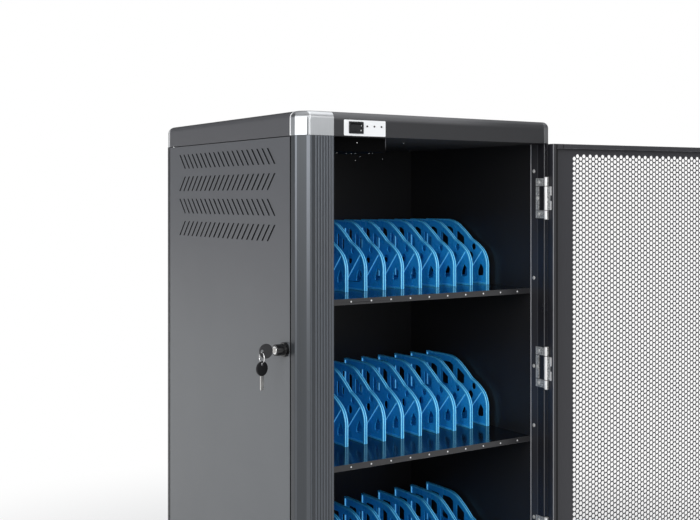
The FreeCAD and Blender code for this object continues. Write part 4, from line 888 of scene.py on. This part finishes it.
hinge_line = (293.5, -321.0)
open_angle = 173.0
hole_pitch = 10.94
column_pitch = 8.69
hole_radius = 4.66
cell_weld = 0.00005
column_count = 46
row_count = 86
first_hole = (220.6, 1120.6)
sheet_low = (-242.0, 174.0)
sheet_high = (287.0, 1147.5)
sheet_front = -318.5
sheet_thick = 1.2
side_point = (column_pitch ** 2 + hole_pitch ** 2 / 4) / (2 * column_pitch)
end_point = side_point - hole_pitch ** 2 / (4 * column_pitch)


def opened(piece):
    """Turns a piece that is modelled on the shut door to where the door stands."""
    middle = Vector((*hinge_line, 0)) / 1000
    piece.data.transform(Matrix.Translation(middle) @ Matrix.Rotation(math.radians(open_angle), 4, "Z")
                         @ Matrix.Translation(-middle))
    return piece


def in_rows(piece, count, offset):
    """Repeats a piece along an offset in mm, with its neighbours joined edge to edge."""
    only(piece)
    rows = piece.modifiers.new("rows", "ARRAY")
    rows.count = count
    rows.use_relative_offset = False
    rows.use_constant_offset = True
    rows.constant_offset_displace = Vector(offset) / 1000
    rows.use_merge_vertices = True
    rows.merge_threshold = cell_weld
    bpy.ops.object.modifier_apply(modifier="rows")


# One cell of the sheet is a six-sided plate round an eight-sided hole. Its own rim is marked as a seam,
# so the edge of the finished field can be told from the holes.
bpy.ops.object.select_all(action="DESELECT")
bpy.ops.mesh.primitive_circle_add(vertices=8, radius=hole_radius / 1000)
cell = bpy.context.object
bpy.ops.object.mode_set(mode="EDIT")
bpy.ops.mesh.select_all(action="SELECT")
bpy.ops.mesh.mark_seam(clear=False)
bpy.ops.mesh.extrude_edges_move(TRANSFORM_OT_translate={"value": (0, 0, 0)})
bpy.ops.mesh.mark_seam(clear=True)
bpy.ops.object.mode_set(mode="OBJECT")
half_pitch = hole_pitch / 2
rim_points = [Vector((x, y, 0)) / 1000 for x, y in (
    (side_point, 0), (end_point, half_pitch), (0, half_pitch), (-end_point, half_pitch),
    (-side_point, 0), (-end_point, -half_pitch), (0, -half_pitch), (end_point, -half_pitch))]
for vertex in cell.data.vertices:
    if vertex.select:
        vertex.co = min(rim_points, key=lambda point: (point.normalized() - vertex.co.normalized()).length)
cell.data.transform(Matrix.Translation(Vector((first_hole[0], sheet_front, first_hole[1])) / 1000)
                    @ Matrix.Rotation(math.radians(90), 4, "X"))
second = copied(cell, (-column_pitch, 0, half_pitch))[0]
in_rows(cell, row_count - 1, (0, 0, -hole_pitch))
in_rows(second, row_count, (0, 0, -hole_pitch))
sheet = joined("perforated_sheet", [cell, second])
in_rows(sheet, column_count // 2, (-2 * column_pitch, 0, 0))
bpy.ops.object.mode_set(mode="EDIT")
bpy.ops.mesh.select_mode(type="EDGE")
bpy.ops.mesh.select_all(action="SELECT")
bpy.ops.mesh.remove_doubles(threshold=cell_weld)
bpy.ops.mesh.select_all(action="DESELECT")
bpy.ops.mesh.select_non_manifold(extend=False, use_wire=False, use_multi_face=False,
                                 use_non_contiguous=False, use_verts=False)
bpy.ops.object.mode_set(mode="OBJECT")
for edge in sheet.data.edges:
    edge.select = edge.select and not edge.use_seam
bpy.ops.object.mode_set(mode="EDIT")
bpy.ops.mesh.extrude_edges_move(TRANSFORM_OT_translate={"value": (0, 0, 0)})
bpy.ops.object.mode_set(mode="OBJECT")
last_hole = first_hole[0] - column_pitch * (column_count - 1)
low_hole = first_hole[1] - hole_pitch * (row_count - 2)
for vertex in sheet.data.vertices:
    if vertex.select:
        x, z = vertex.co.x * 1000, vertex.co.z * 1000
        if x > first_hole[0] + 1:
            vertex.co.x = sheet_high[0] / 1000
        if x < last_hole - 1:
            vertex.co.x = sheet_low[0] / 1000
        if z > first_hole[1] + 5:
            vertex.co.z = sheet_high[1] / 1000
        if z < low_hole - 5:
            vertex.co.z = sheet_low[1] / 1000
only(sheet)
bpy.ops.object.mode_set(mode="EDIT")
bpy.ops.mesh.select_all(action="SELECT")
bpy.ops.mesh.remove_doubles(threshold=cell_weld)
bpy.ops.mesh.normals_make_consistent(inside=False)
bpy.ops.object.mode_set(mode="OBJECT")
wall = sheet.modifiers.new("wall", "SOLIDIFY")
wall.thickness = sheet_thick / 1000
wall.offset = -1.0 if sheet.data.polygons[0].normal.y < 0 else 1.0
bpy.ops.object.modifier_apply(modifier="wall")
sheet.data.materials.append(door_paint)
belongs(opened(sheet), "front_door", "door_inside", "door_mesh")


# Front door's pull and lock. A bent bright steel bar screwed on from the inside, and a cam lock with a
# black collar, a chromed plug and a zinc-plated cam.
chrome = zinc_plate("pull_chrome", (0.78, 0.78, 0.79), 0.16, (1, 1, 0.2), 300.0)
lock_chrome = zinc_plate("lock_chrome", (0.86, 0.86, 0.86), 0.16, (1, 1, 1), 900.0)
collar_plastic = Paint(bpy.data.materials.new("collar_black"))
matt = collar_plastic.noise(130.0, 4.0)
deep_black = collar_plastic.mix(matt, (0.003, 0.003, 0.0033, 1), (0.008, 0.008, 0.0085, 1))
collar_black = collar_plastic.finish(deep_black, 0.16 + 0.12 * matt,
                                     bumps=((collar_plastic.noise(1200.0), 0.1, 0.0002),))
edged("door_pull", 0.6, chrome)
edged("door_lock_body", 0.5, collar_black)
edged("door_lock_plug", 0.3, lock_chrome)
edged("door_lock_cam", 0.3, caster_zinc)


# Side door. A shallow folded tray like the right side panel, with four rows of slanted vent slots. It
# hangs on two pivot pins at its rear edge and shuts with a cam lock.
vented("side_panel")
edged("side_door_pins", 0.4, screw_zinc)
edged("side_lock_body", 0.6, collar_black)
edged("side_lock_plug", 0.9, lock_chrome)
edged("side_lock_cam", 0.3, caster_zinc)


# Keys. Two flat stamped keys with dark nickel-plated bows and bright cut blades. One stands in the lock
# and carries the other on a split ring of polished steel wire.
def key_metal(name, axis, edge, above, tint):
    """A key's metal: bright, and tinted dark on the bow's side of an edge along an axis in metres."""
    metal = Paint(bpy.data.materials.new(name))
    worn = metal.noise(160.0, 4.0)
    far = metal.ramp(metal.along(axis), edge - 0.0006, edge + 0.0006)
    bow = far if above else 1.0 - far
    body = metal.mix(worn, (0.55, 0.54, 0.52, 1), (0.72, 0.71, 0.69, 1))
    body = metal.mix(bow, body, (*tint, 1))
    rough = 0.26 + 0.12 * worn + 0.1 * bow
    return metal.finish(body, rough, 0.95 - 0.3 * bow,
                        ((worn, 0.12, 0.0003), (metal.noise(900.0), 0.08, 0.0002)))


edged("key_in_lock", 0.35, key_metal("key_bow_lock", 0, -0.3495, False, (0.04, 0.04, 0.043)))
spare = edged("spare_key", 0.35, key_metal("key_bow_spare", 2, 0.6955, True, (0.014, 0.014, 0.016)))
spare_turn = 16
blade_turn = Matrix.Translation((-0.3715, -0.26, 0)) @ Matrix.Rotation(math.radians(spare_turn), 4, "Z")
cut_half = 1.1
for height, depth in ((671.5, 2.9), (675.5, 2.2), (679.5, 3.0), (683.5, 2.4), (687.5, 2.9)):
    notch = block("notch", (depth, -4, height - cut_half), (6, 4, height + cut_half))
    notch.data.transform(blade_turn)
    cut_by(spare, notch)
edged("key_ring", 0.1, lock_chrome)
